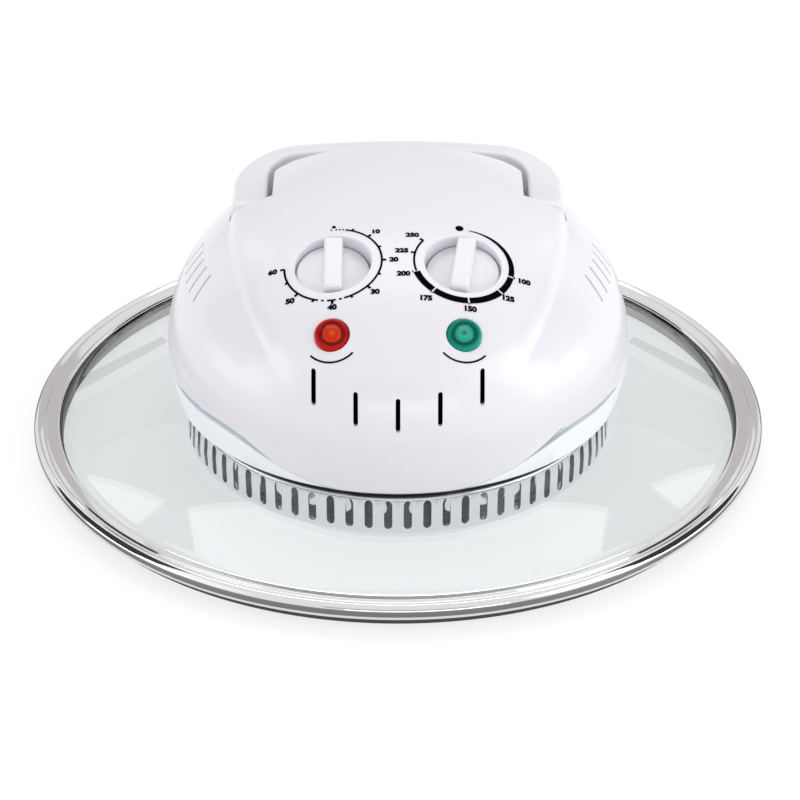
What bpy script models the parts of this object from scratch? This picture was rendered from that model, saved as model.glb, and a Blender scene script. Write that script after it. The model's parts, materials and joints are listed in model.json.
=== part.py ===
"""Lid unit of a halogen oven: a white power head on a domed glass lid with a steel rim.

The unit is the lift-off lid that carries everything that works: the heater ring and its
fan in a slotted steel drum below the glass, and the motor, timer, thermostat, lamps and
safety switch in the head above it. The folded handle presses the safety switch.

Metres, +Z up. The origin is the centre of the seal's underside, the plane in which the lid
rests on its bowl. The controls face -Y and the handle lies towards +Y.
"""

import math

import bmesh
import bpy
from mathutils import Matrix, Vector

FULL_TURN = 2.0 * math.pi
PARTS_NAME = "halogen_oven_lid"
CUTTERS_NAME = "cutters"

# Shared clearances and overruns
GAP = 0.0003
RUNNING_GAP = 0.0004
OVERRUN = 0.004
MERGE = 0.00001

# How finely round pieces are turned
RING_STEPS = 40
SMALL_STEPS = 14
TINY_STEPS = 8
KNOB_STEPS = 24
HOLE_TWIST = 0.3
SMOOTH_ANGLE = math.radians(35)

# Steel rim band
RIM_RADIUS = 0.170
RIM_WIDTH = 0.013
RIM_BOTTOM = 0.0055
RIM_HEIGHT = 0.008
RIM_SHEET = 0.0008
RIM_EDGE_ROUND = 0.0018
RIM_STEP_DROP = 0.0009
RIM_STEP_WIDTH = 0.0065

# Glass lid
GLASS_THICKNESS = 0.004
GLASS_SEAT_TOP = 0.025
GLASS_HOLE_RADIUS = 0.091
GLASS_FALL_POWER = 1.35
GLASS_FALL_STEPS = 3

# Silicone seal below the glass, the lid's resting face
SEAL_WIDTH = 0.0075
SEAL_FOOT_BEVEL = 0.0008

# Gaskets that grip the glass round its hole
GASKET_THICKNESS = 0.0008
GASKET_INSET = 0.0015
GASKET_INNER_RADIUS = GLASS_HOLE_RADIUS + GASKET_INSET

# Head: one moulded form that the shell, the handle and the base ring share
HEAD_RADIUS = 0.1062
HEAD_BASE_RADIUS = 0.103
GLASS_SEAT_MARGIN = 0.001
GLASS_SEAT_RADIUS = HEAD_BASE_RADIUS + GLASS_SEAT_MARGIN
HEAD_BASE = 0.0266
HEAD_SHOULDER = 0.045
HEAD_CROWN = 0.117
CROWN_SETBACK = 0.045
HEAD_FORM = 2.4
WALL = 0.0025
HEAD_STEPS = 48
HEAD_RING_SHARES = (0.06, 0.28, 0.48, 0.63, 0.76, 0.86, 0.93, 0.975, 1.0)
SIDE_RING_SHARES = (0.5, 1.0)
SIDE_FORM = 0.5

# Raised console on the head, shield shaped to the front and square to the rear
CONSOLE_HALF_WIDTH = 0.077
CONSOLE_WIDEST_Y = 0.020
CONSOLE_FRONT_REACH = 0.1248
CONSOLE_REAR_REACH = 0.046
CONSOLE_LIFT_REAR = 0.0075
CONSOLE_LIFT_FRONT = 0.0022
CONSOLE_SIDE_FORM = 2.8
CONSOLE_FRONT_FORM = 2.1
CONSOLE_REAR_FORM = 3.5
CONSOLE_EDGE_SHARE = 0.82
CONSOLE_EDGE_FORM = 1.6

# Seam between the shell and the base ring: low at the front, high round the sides
SEAM_FRONT = 0.0268
SEAM_SIDE = 0.0425
SEAM_RISE_FROM = math.radians(12)
SEAM_RISE_TO = math.radians(50)
SCOOP_HEIGHT = 0.0062
SCOOP_FROM = math.radians(29)
SCOOP_TO = math.radians(74)
SCOOP_FORM = 1.5

# Base ring
BASE_FLOOR = 0.0025
BASE_FLOOR_INNER_RADIUS = 0.070
BASE_LIP_HEIGHT = 0.009
BASE_LIP_THICKNESS = 0.002
BASE_LIP_LEAN = 0.0009
BASE_SIDE_RADIUS = 0.1052
BASE_BOSS_RADIUS = 0.0042
BASE_BOSS_HEIGHT = 0.0055

# Handle, a U that lies folded in a channel at the rear of the head
HANDLE_ARM_WIDTH = 0.0164
HANDLE_BAR_WIDTH = 0.0126
HANDLE_DEPTH = 0.012
HANDLE_ARM_X = 0.0683
HANDLE_BAR_Y = 0.0599
HANDLE_CORNER_RADIUS = 0.021
HANDLE_PIVOT_Y = 0.020
HANDLE_END_REACH = 0.0074
HANDLE_BELOW_CONSOLE = 0.006
HANDLE_SIDE_DROP = 0.0045
HANDLE_FRONT_DROP = 0.005
HANDLE_TOP_SLOPE = 0.12
HANDLE_INNER_ROUND = 0.0016
HANDLE_OUTER_ROUND = 0.0046
HANDLE_ROUND_SHARE = 0.3
HANDLE_SIDE_GAP = 0.0006
HANDLE_ARM_SLIT = 0.0030
HANDLE_BAR_SLIT = 0.0075
HANDLE_FLOOR_GAP = 0.0020
HANDLE_FRONT_GAP = 0.0006
HANDLE_END_ANGLES = tuple(math.radians(angle) for angle in (12, 35, 62, 90))
HANDLE_ARM_STEPS = 4
HANDLE_CORNER_STEPS = 5
HANDLE_BAR_STEPS = 6
CHANNEL_RISE = 0.020
PIN_RADIUS = 0.0025
PIN_IN_ARM = 0.0075

# Finger recess behind and below the handle's bar
RECESS_HALF_WIDTH = 0.032
RECESS_FRONT_Y = 0.054
RECESS_REAR_Y = 0.084
RECESS_DEPTH = 0.016
RECESS_CORNER = 0.006

# Knobs
KNOB_X = 0.0283
KNOB_Y = -0.046
KNOB_TILT = math.radians(20)
WELL_RADIUS = 0.0167
WELL_DEPTH = 0.0085
KNOB_RADIUS = 0.0161
KNOB_DISC = 0.0024
KNOB_GRIP_WIDTH = 0.0088
KNOB_GRIP_HEIGHT = 0.0074
KNOB_EDGE = 0.0008
THERMOSTAT_REST = math.radians(-8)
SHAFT_RADIUS = 0.0028
SHAFT_IN_KNOB = 0.0065
SHAFT_IN_BODY = 0.004
CONTROL_BODY_SIZE = 0.032
TIMER_BODY_DEPTH = 0.020
THERMOSTAT_BODY_RADIUS = 0.0155
THERMOSTAT_BODY_DEPTH = 0.016
CONTROL_NECK_RADIUS = 0.0055
CONTROL_NECK = 0.0022

# Indicator lamps
LAMP_X = 0.0283
LAMP_Y = -0.080
LAMP_TILT = math.radians(39)
LENS_RADIUS = 0.0075
LENS_STEM_RADIUS = 0.0058
LENS_STEM = 0.006
LENS_DOME = 0.0032
LENS_RIM = 0.0012
LENS_SEAT = 0.0010
LENS_CROWN_SHARES = ((0.45, 0.86), (0.8, 0.42))
LAMP_BODY_RADIUS = 0.0048
LAMP_BODY_LENGTH = 0.016

# Vent slots at the front of the console
VENT_PITCH = 0.018
VENT_WIDTH = 0.0020
VENT_LENGTH = 0.0145
VENT_HEIGHTS = (0.0658, 0.0678, 0.0742)
VENT_CUT_REACH = 0.029

# Louvre grooves on the shoulders
LOUVRE_COUNT = 5
LOUVRE_FIRST = math.radians(51.2)
LOUVRE_PITCH = math.radians(4.2)
LOUVRE_WIDTH = 0.0014
LOUVRE_DEPTH = 0.0011
LOUVRE_SHARES = (0.835, 0.915)
LOUVRE_STEPS = 2

# Screw bosses of the shell and their screws
BOSS_COUNT = 4
BOSS_CIRCLE = 0.086
BOSS_RADIUS = 0.0045
BOSS_PILOT_RADIUS = 0.0016
BOSS_PILOT_DEPTH = 0.011
SHELL_SCREW_RADIUS = 0.0013
SHELL_SCREW_LENGTH = 0.011
SHELL_SCREW_HEAD_RADIUS = 0.0034
SHELL_SCREW_HEAD = 0.0022

# Clamp screws that pull the drum up against the glass
CLAMP_COUNT = 4
CLAMP_CIRCLE = 0.076
CLAMP_RADIUS = 0.0019
CLAMP_HEAD_RADIUS = 0.0042
CLAMP_HEAD = 0.0024
CLAMP_HOLE_GAP = 0.0004

# Slotted drum
DRUM_RADIUS = 0.098
DRUM_BOTTOM = 0.0015
DRUM_SHEET = 0.0010
DRUM_FLANGE_INNER_RADIUS = 0.072
DRUM_LIP = 0.0055
DRUM_STEPS = 72
DRUM_SLOTS = 72
DRUM_SLOT_WIDTH = 0.0036
DRUM_SLOT_LENGTH = 0.0140
DRUM_SLOT_MIDDLE = 0.0112
DRUM_SLOT_STEPS = 2
DRUM_FRONT_SHIFT = 0.5

# Screen behind the drum's slots, reflector, insulation and steel plate
SCREEN_RADIUS = 0.0905
SCREEN_SHEET = 0.0009
SCREEN_STEPS = 36
SCREEN_RIBS = 36
SCREEN_SLOT_WIDTH = 0.0060
SCREEN_SLOT_LENGTH = 0.0085
SCREEN_SLOT_STEPS = 1
REFLECTOR_RADIUS = 0.0895
REFLECTOR_SHEET = 0.0008
INSULATION_GAP = 0.0018
INSULATION_RADIUS = CLAMP_CIRCLE - CLAMP_HEAD_RADIUS - INSULATION_GAP
PLATE_RADIUS = 0.0808
PLATE_SHEET = 0.0012

# Guard across the drum's mouth
GUARD_SHEET = 0.0009
GUARD_ROWS = 3
GUARD_HOLES_INNER_ROW = 6
GUARD_HUB_RADIUS = 0.012
GUARD_RIM_WIDTH = 0.007
GUARD_RIB = 0.0034
GUARD_ARC_STEPS = 3

# Halogen heater ring
TUBE_RADIUS = 0.0050
CAP_RADIUS = 0.0068
TUBE_RING_INSET = 0.0032
TUBE_RING_RADIUS = INSULATION_RADIUS - CAP_RADIUS - TUBE_RING_INSET
TUBE_HEIGHT = 0.0108
TUBE_END_ANGLE = math.radians(13)
TUBE_BEND = 0.0040
TUBE_ARC_STEPS = 22
TUBE_ROUND_STEPS = 2
CLIP_COUNT = 3
CLIP_BAND = 0.0012
CLIP_THICKNESS = 0.0016
CLIP_STEM = 0.0030

# Motor and fans, all on one upright shaft
MOTOR_SHAFT_RADIUS = 0.0025
MOTOR_SHAFT_BOTTOM = 0.0062
MOTOR_SHAFT_TOP = 0.0775
ROTOR_RADIUS = 0.0125
STATOR_BOTTOM = 0.0400
STATOR_HEIGHT = 0.016
STATOR_HALF_DEPTH = 0.022
STATOR_LEFT = -0.020
STATOR_LIMB = 0.009
STATOR_RIGHT = 0.044
STATOR_WINDOW_HALF = 0.0135
STATOR_WINDOW_LEFT = 0.021
AIR_GAP = 0.0005
COIL_WALL = 0.0058
POST_RADIUS = 0.0028
POST_X = -0.0145
POST_Y = 0.0170
BEARING_RADIUS = 0.0065
BEARING_HEIGHT = 0.006
BRIDGE_WIDTH = 0.013
BRIDGE_SHEET = 0.0015
HUB_RADIUS = 0.0065
CONVECTION_RADIUS = 0.043
CONVECTION_TOP = 0.0160
CONVECTION_DEPTH = 0.0068
CONVECTION_BLADES = 6
COOLING_RADIUS = 0.035
COOLING_BOTTOM = 0.0655
COOLING_DEPTH = 0.008
COOLING_BLADES = 7
BLADE_SHEET = 0.0010
BLADE_PITCH = math.radians(32)
BLADE_WIDTH_SHARE = 0.62
NUT_STEPS = 6
NUT_RADIUS = 0.0046
NUT_HEIGHT = 0.0026

# Safety switch below the right arm of the handle
SWITCH_X = 0.0683
SWITCH_Y = 0.036
SWITCH_WIDTH = 0.0085
SWITCH_LENGTH = 0.020
SWITCH_HEIGHT = 0.0105
SWITCH_TRAVEL = 0.002
PLUNGER_RADIUS = 0.0016
PLUNGER_IN_SWITCH = 0.0045

# Small fittings
TERMINAL_SIZE = (0.030, 0.014, 0.012)
TERMINAL_PLACE = (-0.034, 0.038)
CUTOUT_RADIUS = 0.0075
CUTOUT_HEIGHT = 0.008
CUTOUT_PLACE = (-0.045, -0.015)
BULB_RADIUS = 0.0025
BULB_CIRCLE = 0.0800
BULB_ANGLE = math.radians(-30)
BULB_BOTTOM = 0.0065
BULB_RISE = 0.008
CAPILLARY_RADIUS = 0.0010
CAPILLARY_STEPS = 12
CAPILLARY_ROUND_STEPS = 1
GROMMET_HEIGHT = 0.0630
GROMMET_RADIUS = 0.0062
GROMMET_BORE = 0.0036
GROMMET_FLANGE = 0.0016


def smoothstep(value):
    """Ease from 0 to 1 as value goes from 0 to 1."""
    held = min(max(value, 0.0), 1.0)
    return held * held * (3.0 - 2.0 * held)


# Scene and materials

def clear_scene():
    for old in list(bpy.data.objects):
        bpy.data.objects.remove(old, do_unlink=True)


def new_collection(name):
    collection = bpy.data.collections.new(name)
    bpy.context.scene.collection.children.link(collection)
    return collection


def surface(name, colour, roughness, metallic=0.0, transmission=0.0):
    """A Principled material with one plain finish."""
    material = bpy.data.materials.new(name)
    material.use_nodes = True
    shader = material.node_tree.nodes["Principled BSDF"]
    shader.inputs["Base Color"].default_value = (*colour, 1.0)
    shader.inputs["Roughness"].default_value = roughness
    shader.inputs["Metallic"].default_value = metallic
    shader.inputs["Transmission Weight"].default_value = transmission
    material.diffuse_color = (*colour, 1.0)
    return material


clear_scene()
parts = new_collection(PARTS_NAME)
cutters = new_collection(CUTTERS_NAME)

WHITE = surface("white_plastic", (0.86, 0.86, 0.89), 0.22)
BASE_WHITE = surface("base_plastic", (0.80, 0.85, 0.88), 0.25)
KNOB_WHITE = surface("knob_plastic", (0.84, 0.84, 0.88), 0.25)
BRIGHT_STEEL = surface("bright_steel", (0.72, 0.71, 0.70), 0.16, 1.0)
DRUM_STEEL = surface("drum_steel", (0.68, 0.68, 0.69), 0.28, 1.0)
PLATED_STEEL = surface("plated_steel", (0.58, 0.58, 0.57), 0.38, 1.0)
LAMINATED_STEEL = surface("laminated_steel", (0.30, 0.31, 0.33), 0.5, 1.0)
COPPER = surface("copper_winding", (0.62, 0.29, 0.14), 0.35, 1.0)
BRASS = surface("brass", (0.70, 0.55, 0.25), 0.3, 1.0)
GLASS = surface("lid_glass", (0.82, 0.87, 0.88), 0.03, 0.0, 0.9)
QUARTZ = surface("quartz_tube", (0.90, 0.88, 0.84), 0.05, 0.0, 0.8)
SILICONE = surface("grey_silicone", (0.42, 0.43, 0.45), 0.6)
CERAMIC = surface("white_ceramic", (0.84, 0.81, 0.74), 0.45)
FIBRE = surface("insulation_fibre", (0.66, 0.62, 0.54), 0.9)
RED = surface("red_lens", (0.55, 0.02, 0.01), 0.15, 0.0, 0.4)
GREEN = surface("green_lens", (0.01, 0.38, 0.30), 0.15, 0.0, 0.4)
BLACK = surface("black_plastic", (0.04, 0.04, 0.045), 0.45)
NYLON = surface("nylon_fan", (0.22, 0.24, 0.26), 0.5)


# Making pieces

def put(obj, material=None):
    """Place an object among the parts, with its material, or among the cutters without one."""
    for collection in list(obj.users_collection):
        collection.objects.unlink(obj)
    if material is None:
        cutters.objects.link(obj)
        obj.hide_render = True
        obj.display_type = "WIRE"
        return obj
    parts.objects.link(obj)
    obj.data.materials.clear()
    obj.data.materials.append(material)
    return obj


def from_bmesh(name, work, material=None):
    """Turn a bmesh into an object, smooth where it is round."""
    bmesh.ops.recalc_face_normals(work, faces=work.faces)
    mesh = bpy.data.meshes.new(name)
    work.to_mesh(mesh)
    work.free()
    mesh.shade_smooth()
    mesh.set_sharp_from_angle(angle=SMOOTH_ANGLE)
    return put(bpy.data.objects.new(name, mesh), material)


def runs_down_outside(profile):
    """True if a closed (r, z) outline goes down on its outer side."""
    area = 0.0
    for (r0, z0), (r1, z1) in zip(profile, profile[1:] + profile[:1]):
        area += r0 * z1 - r1 * z0
    return area < 0.0


def turned(name, profile, steps, material=None):
    """A solid turned about Z from an (r, z) outline; ends on the axis close by themselves."""
    outline = list(profile)
    if not runs_down_outside(outline):
        outline.reverse()
    solid_core = min(radius for radius, _ in outline) <= 0.0
    if solid_core:
        while not (outline[0][0] <= 0.0 and outline[-1][0] <= 0.0):
            outline.append(outline.pop(0))
        if outline[0][1] < outline[-1][1]:
            outline.append(outline.pop(0))
    mesh = bpy.data.meshes.new(name)
    edges = [(index, index + 1) for index in range(len(outline) - 1)]
    if not solid_core:
        edges.append((len(outline) - 1, 0))
    mesh.from_pydata([(radius, 0.0, height) for radius, height in outline], edges, [])
    obj = put(bpy.data.objects.new(name, mesh), material)
    screw = obj.modifiers.new("turn", "SCREW")
    screw.axis = "Z"
    screw.angle = FULL_TURN
    screw.steps = steps
    screw.render_steps = steps
    screw.use_merge_vertices = True
    screw.merge_threshold = MERGE
    screw.use_smooth_shade = True
    return obj


def ring_profile(inner, outer, bottom, top):
    return [(outer, top), (outer, bottom), (inner, bottom), (inner, top)]


def rod_profile(radius, bottom, top):
    return [(0.0, top), (radius, top), (radius, bottom), (0.0, bottom)]


def block(name, low, high, material=None, edge=0.0):
    """A box between two corners, with its edges bevelled."""
    low, high = Vector(low), Vector(high)
    work = bmesh.new()
    bmesh.ops.create_cube(work, size=1.0)
    bmesh.ops.scale(work, vec=high - low, verts=work.verts)
    bmesh.ops.translate(work, vec=(low + high) / 2, verts=work.verts)
    obj = from_bmesh(name, work, material)
    if edge > 0.0:
        bevel = obj.modifiers.new("edges", "BEVEL")
        bevel.width = edge
        bevel.segments = 1
        bevel.limit_method = "ANGLE"
    return obj


def mesh_of(obj):
    """Replace a curve object by its mesh, with the caps welded."""
    graph = bpy.context.evaluated_depsgraph_get()
    mesh = bpy.data.meshes.new_from_object(obj.evaluated_get(graph))
    work = bmesh.new()
    work.from_mesh(mesh)
    bmesh.ops.remove_doubles(work, verts=work.verts, dist=MERGE)
    bmesh.ops.recalc_face_normals(work, faces=work.faces)
    work.to_mesh(mesh)
    work.free()
    solid = bpy.data.objects.new(obj.name + "_solid", mesh)
    solid.matrix_world = obj.matrix_world
    name = obj.name
    bpy.data.objects.remove(obj, do_unlink=True)
    solid.name = name
    return solid


def plate(name, outlines, thickness, material=None):
    """A flat plate about z = 0: the first closed outline is its edge, the others its holes."""
    curve = bpy.data.curves.new(name, "CURVE")
    curve.dimensions = "2D"
    curve.fill_mode = "BOTH"
    curve.extrude = thickness / 2
    for outline in outlines:
        spline = curve.splines.new("POLY")
        spline.points.add(len(outline) - 1)
        for point, (x, y) in zip(spline.points, outline):
            point.co = (x, y, 0.0, 1.0)
        spline.use_cyclic_u = True
    obj = bpy.data.objects.new(name, curve)
    bpy.context.scene.collection.objects.link(obj)
    bpy.context.view_layer.update()
    return put(mesh_of(obj), material)


def tube(name, points, radius, material, roundness):
    """A round tube along a chain of points, with flat caps."""
    curve = bpy.data.curves.new(name, "CURVE")
    curve.dimensions = "3D"
    curve.bevel_depth = radius
    curve.bevel_resolution = roundness
    curve.use_fill_caps = True
    spline = curve.splines.new("POLY")
    spline.points.add(len(points) - 1)
    for point, place in zip(spline.points, points):
        point.co = (*place, 1.0)
    obj = bpy.data.objects.new(name, curve)
    bpy.context.scene.collection.objects.link(obj)
    bpy.context.view_layer.update()
    solid = put(mesh_of(obj), material)
    solid.data.shade_smooth()
    return solid


def circle(radius, steps, twist=0.0):
    angles = [FULL_TURN * (step + twist) / steps for step in range(steps)]
    return [(radius * math.cos(angle), radius * math.sin(angle)) for angle in angles]


def stadium(width, length, end_points=3):
    """A slot outline, its length along the second axis, with faceted round ends."""
    reach = (length - width) / 2
    points = []
    for side in (1, -1):
        for step in range(end_points + 1):
            angle = math.pi * step / end_points
            points.append((side * math.cos(angle) * width / 2,
                           side * (reach + math.sin(angle) * width / 2)))
    return points


def prism(work, outline, matrix, depth):
    """Add a closed prism to a bmesh: an outline in local x and y, centred in depth along z."""
    foot = [work.verts.new(matrix @ Vector((x, y, -depth / 2))) for x, y in outline]
    drawn = bmesh.ops.extrude_face_region(work, geom=[work.faces.new(foot)], use_keep_orig=True)
    raised = [item for item in drawn["geom"] if isinstance(item, bmesh.types.BMVert)]
    bmesh.ops.translate(work, verts=raised, vec=matrix.to_3x3() @ Vector((0.0, 0.0, depth)))


def bridged(name, loops, material, closed=False):
    """A loft: a chain of loops with equal corners, closed by caps or on itself, in triangles."""
    work = bmesh.new()
    rows = [[work.verts.new(point) for point in loop] for loop in loops]
    pairs = list(zip(rows, rows[1:] + rows[:1])) if closed else list(zip(rows, rows[1:]))
    for first, second in pairs:
        for index in range(len(first)):
            after = (index + 1) % len(first)
            work.faces.new((first[index], first[after], second[after], second[index]))
    if not closed:
        work.faces.new(rows[0][::-1])
        work.faces.new(rows[-1])
    bmesh.ops.triangulate(work, faces=work.faces)
    return from_bmesh(name, work, material)


def frame_at(place, across, along):
    """A matrix with local x across, local y along, and local z square to both."""
    across = Vector(across).normalized()
    out = across.cross(Vector(along)).normalized()
    up = out.cross(across)
    matrix = Matrix((across, up, out)).transposed().to_4x4()
    matrix.translation = Vector(place)
    return matrix


def cut(obj, cutter, operation="DIFFERENCE", solver="EXACT"):
    step = obj.modifiers.new(operation.lower(), "BOOLEAN")
    step.operation = operation
    step.object = cutter
    step.solver = solver


def place(obj, where, tilt=0.0, turn=0.0):
    obj.location = where
    obj.rotation_euler = (tilt, 0.0, turn)
    return obj


def carried(obj, carrier):
    """Parent an object to a carrier whose frame it was modelled in."""
    obj.parent = carrier
    return obj


def empty_at(name, where, tilt=0.0):
    obj = bpy.data.objects.new(name, None)
    parts.objects.link(obj)
    place(obj, where, tilt)
    return obj


def on_circle(radius, angle, height=0.0):
    return Vector((radius * math.cos(angle), radius * math.sin(angle), height))


# Head form

def wall_reach(angle, radius):
    """Distance from the crown's foot to the head's wall, in a direction counted from -Y."""
    along = -math.cos(angle)
    lean = CROWN_SETBACK * along
    return -lean + math.sqrt(lean * lean - CROWN_SETBACK ** 2 + radius ** 2)


def console_mask(x, y):
    """1 on the raised console, 0 outside it. Its flank is soft above and crisp at its foot."""
    side = abs(x) / CONSOLE_HALF_WIDTH
    if y < CONSOLE_WIDEST_Y:
        ahead = (CONSOLE_WIDEST_Y - y) / CONSOLE_FRONT_REACH
        level = side ** CONSOLE_SIDE_FORM + ahead ** CONSOLE_FRONT_FORM
    else:
        behind = (y - CONSOLE_WIDEST_Y) / CONSOLE_REAR_REACH
        level = side ** CONSOLE_REAR_FORM + behind ** CONSOLE_REAR_FORM
    fall = (level - CONSOLE_EDGE_SHARE) / (1.0 - CONSOLE_EDGE_SHARE)
    return 1.0 - min(max(fall, 0.0), 1.0) ** CONSOLE_EDGE_FORM


def console_lift(share):
    return CONSOLE_LIFT_REAR + (CONSOLE_LIFT_FRONT - CONSOLE_LIFT_REAR) * share


def head_point(angle, share, inset=0.0):
    """A point of the head's outer face, or of the same form set in by a wall."""
    reach = wall_reach(angle, HEAD_RADIUS - inset)
    rise = HEAD_CROWN - inset - HEAD_SHOULDER
    level = max(1.0 - share ** HEAD_FORM, 0.0) ** (1.0 / HEAD_FORM)
    point = Vector((share * reach * math.sin(angle),
                    CROWN_SETBACK - share * reach * math.cos(angle),
                    HEAD_SHOULDER + rise * level))
    outward = share ** (HEAD_FORM - 1.0) / reach
    upward = level ** (HEAD_FORM - 1.0) / rise
    normal = Vector((outward * math.sin(angle), -outward * math.cos(angle), upward)).normalized()
    return point + normal * console_lift(share) * console_mask(point.x, point.y)


def head_height(x, y):
    """Height of the head's outer face above a place in plan."""
    angle = math.atan2(x, CROWN_SETBACK - y)
    share = math.hypot(x, y - CROWN_SETBACK) / wall_reach(angle, HEAD_RADIUS)
    level = max(1.0 - share ** HEAD_FORM, 0.0) ** (1.0 / HEAD_FORM)
    dome = HEAD_SHOULDER + (HEAD_CROWN - HEAD_SHOULDER) * level
    return dome + console_lift(share) * console_mask(x, y)


def seam_height(angle):
    """Height of the seam at a direction about the lid's axis, counted from -Y."""
    turn = abs(angle)
    rise = smoothstep((turn - SEAM_RISE_FROM) / (SEAM_RISE_TO - SEAM_RISE_FROM))
    return SEAM_FRONT + (SEAM_SIDE - SEAM_FRONT) * rise


def scoop(angle):
    """How far the shell's edge is scooped up above the seam on each side of the front."""
    along = (abs(angle) - SCOOP_FROM) / (SCOOP_TO - SCOOP_FROM)
    if not 0.0 < along < 1.0:
        return 0.0
    return SCOOP_HEIGHT * math.sin(math.pi * along) ** SCOOP_FORM


def side_radius(height, outer):
    """Radius of the head's side between its base and its shoulder."""
    share = (height - HEAD_BASE) / (HEAD_SHOULDER - HEAD_BASE)
    return HEAD_BASE_RADIUS + (outer - HEAD_BASE_RADIUS) * smoothstep(min(share, 1.0)) ** SIDE_FORM


def head_turns():
    """Even directions about the lid's axis, counted from -Y."""
    return [FULL_TURN * step / HEAD_STEPS - math.pi for step in range(HEAD_STEPS)]


def crown_angle(turn):
    """The direction from the crown's foot to the wall's point in a direction about the axis."""
    return math.atan2(HEAD_RADIUS * math.sin(turn), CROWN_SETBACK + HEAD_RADIUS * math.cos(turn))


def skin_rings(inset, lowest):
    """Rings of points down the head, from the crown to a lowest edge."""
    angles = [crown_angle(turn) for turn in head_turns()]
    rings = [[head_point(angle, share, inset) for angle in angles] for share in HEAD_RING_SHARES]
    for fall in SIDE_RING_SHARES:
        ring = []
        for turn in head_turns():
            floor = lowest(turn)
            height = HEAD_SHOULDER + (floor - HEAD_SHOULDER) * fall
            radius = side_radius(height, HEAD_RADIUS) - inset
            ring.append(Vector((radius * math.sin(turn), -radius * math.cos(turn), height)))
        rings.append(ring)
    return rings


def closed_skin(name, inset, lowest, material=None):
    """A closed solid lofted through the head's rings, with a small flat on the crown."""
    rings = skin_rings(inset, lowest)
    highest = max(point.z for point in rings[-1])
    inner = [Vector((point.x / 2, point.y / 2, highest)) for point in rings[-1]]
    return bridged(name, rings + [inner], material)


# Handle form, shared by the handle, its channel and the wall round the channel

def handle_crest(x, y):
    """Height of the handle's top above a place in plan."""
    back = min(max((y - HANDLE_PIVOT_Y) / (HANDLE_BAR_Y - HANDLE_PIVOT_Y), 0.0), 1.0)
    side = x / HANDLE_ARM_X
    bar_top = HEAD_CROWN + CONSOLE_LIFT_REAR - HANDLE_BELOW_CONSOLE
    return bar_top - HANDLE_SIDE_DROP * side * side - HANDLE_FRONT_DROP * (1.0 - back * back)


def arm_stations(ends):
    """Half of the handle's path: place in plan, direction across, and share of full depth."""
    corner_y = HANDLE_BAR_Y - HANDLE_CORNER_RADIUS
    corner_x = HANDLE_ARM_X - HANDLE_CORNER_RADIUS
    half = [(HANDLE_ARM_X, y, 0.0, depth) for y, depth in ends]
    for step in range(1, HANDLE_ARM_STEPS + 1):
        y = HANDLE_PIVOT_Y + (corner_y - HANDLE_PIVOT_Y) * step / HANDLE_ARM_STEPS
        half.append((HANDLE_ARM_X, y, 0.0, 1.0))
    for step in range(1, HANDLE_CORNER_STEPS + 1):
        turn = math.pi / 2 * step / HANDLE_CORNER_STEPS
        half.append((corner_x + HANDLE_CORNER_RADIUS * math.cos(turn),
                     corner_y + HANDLE_CORNER_RADIUS * math.sin(turn), turn, 1.0))
    return half


def handle_path(ends):
    """Stations from the front of the right arm, round the bar, to the front of the left arm."""
    half = arm_stations(ends)
    corner_x = HANDLE_ARM_X - HANDLE_CORNER_RADIUS
    bar = []
    for step in range(1, HANDLE_BAR_STEPS):
        x = corner_x - 2 * corner_x * step / HANDLE_BAR_STEPS
        bar.append((x, HANDLE_BAR_Y, math.pi / 2, 1.0))
    other = [(-x, y, math.pi - turn, depth) for x, y, turn, depth in reversed(half)]
    return half + bar + other


def bar_share(turn):
    """0 along the arms, 1 along the bar."""
    return smoothstep(math.sin(turn))


def between(first, second, share):
    return first + (second - first) * share


def handle_half_width(turn):
    return between(HANDLE_ARM_WIDTH, HANDLE_BAR_WIDTH, bar_share(turn)) / 2


def handle_section(turn):
    """Outline of the handle across its path: offset outwards and height above the crest."""
    half = handle_half_width(turn)
    slope = between(HANDLE_TOP_SLOPE, 0.0, bar_share(turn))
    round_start = half - HANDLE_OUTER_ROUND
    shoulder = -slope * round_start
    chamfer = HANDLE_OUTER_ROUND * HANDLE_ROUND_SHARE
    return [(-half, -HANDLE_DEPTH), (-half, slope * half - HANDLE_INNER_ROUND),
            (-half + HANDLE_INNER_ROUND, slope * (half - HANDLE_INNER_ROUND)), (0.0, 0.0),
            (round_start, shoulder), (half - chamfer, shoulder - chamfer),
            (half, shoulder - HANDLE_OUTER_ROUND), (half, -HANDLE_DEPTH)]


def channel_section(turn, grow, rise):
    """Outline of the channel across the handle's path, grown by a wall's thickness."""
    half = handle_half_width(turn)
    inner = half + between(HANDLE_ARM_SLIT, HANDLE_BAR_SLIT, bar_share(turn)) + grow
    outer = half + HANDLE_SIDE_GAP + grow
    floor = -HANDLE_DEPTH - HANDLE_FLOOR_GAP - grow
    return [(-inner, floor), (-inner, rise), (outer, rise), (outer, floor)]


def follow_handle(name, ends, section, material=None):
    """A solid swept along the handle's path, flattened towards its mid-height at rounded ends."""
    loops = []
    for x, y, turn, depth in handle_path(ends):
        out = Vector((math.cos(turn), math.sin(turn), 0.0))
        crest = handle_crest(x, y)
        middle = crest - HANDLE_DEPTH / 2
        loop = []
        for offset, height in section(turn):
            loop.append(Vector((x, y, middle + (crest + height - middle) * depth)) + out * offset)
        loops.append(loop)
    return bridged(name, loops, material)


def channel_solid(name, grow, rise):
    front = HANDLE_PIVOT_Y - HANDLE_END_REACH - HANDLE_FRONT_GAP - grow
    return follow_handle(name, [(front, 1.0)], lambda turn: channel_section(turn, grow, rise))


def pivot_height():
    return handle_crest(HANDLE_ARM_X, HANDLE_PIVOT_Y) - HANDLE_DEPTH / 2


# Lid: rim, glass, seal and gaskets

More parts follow.
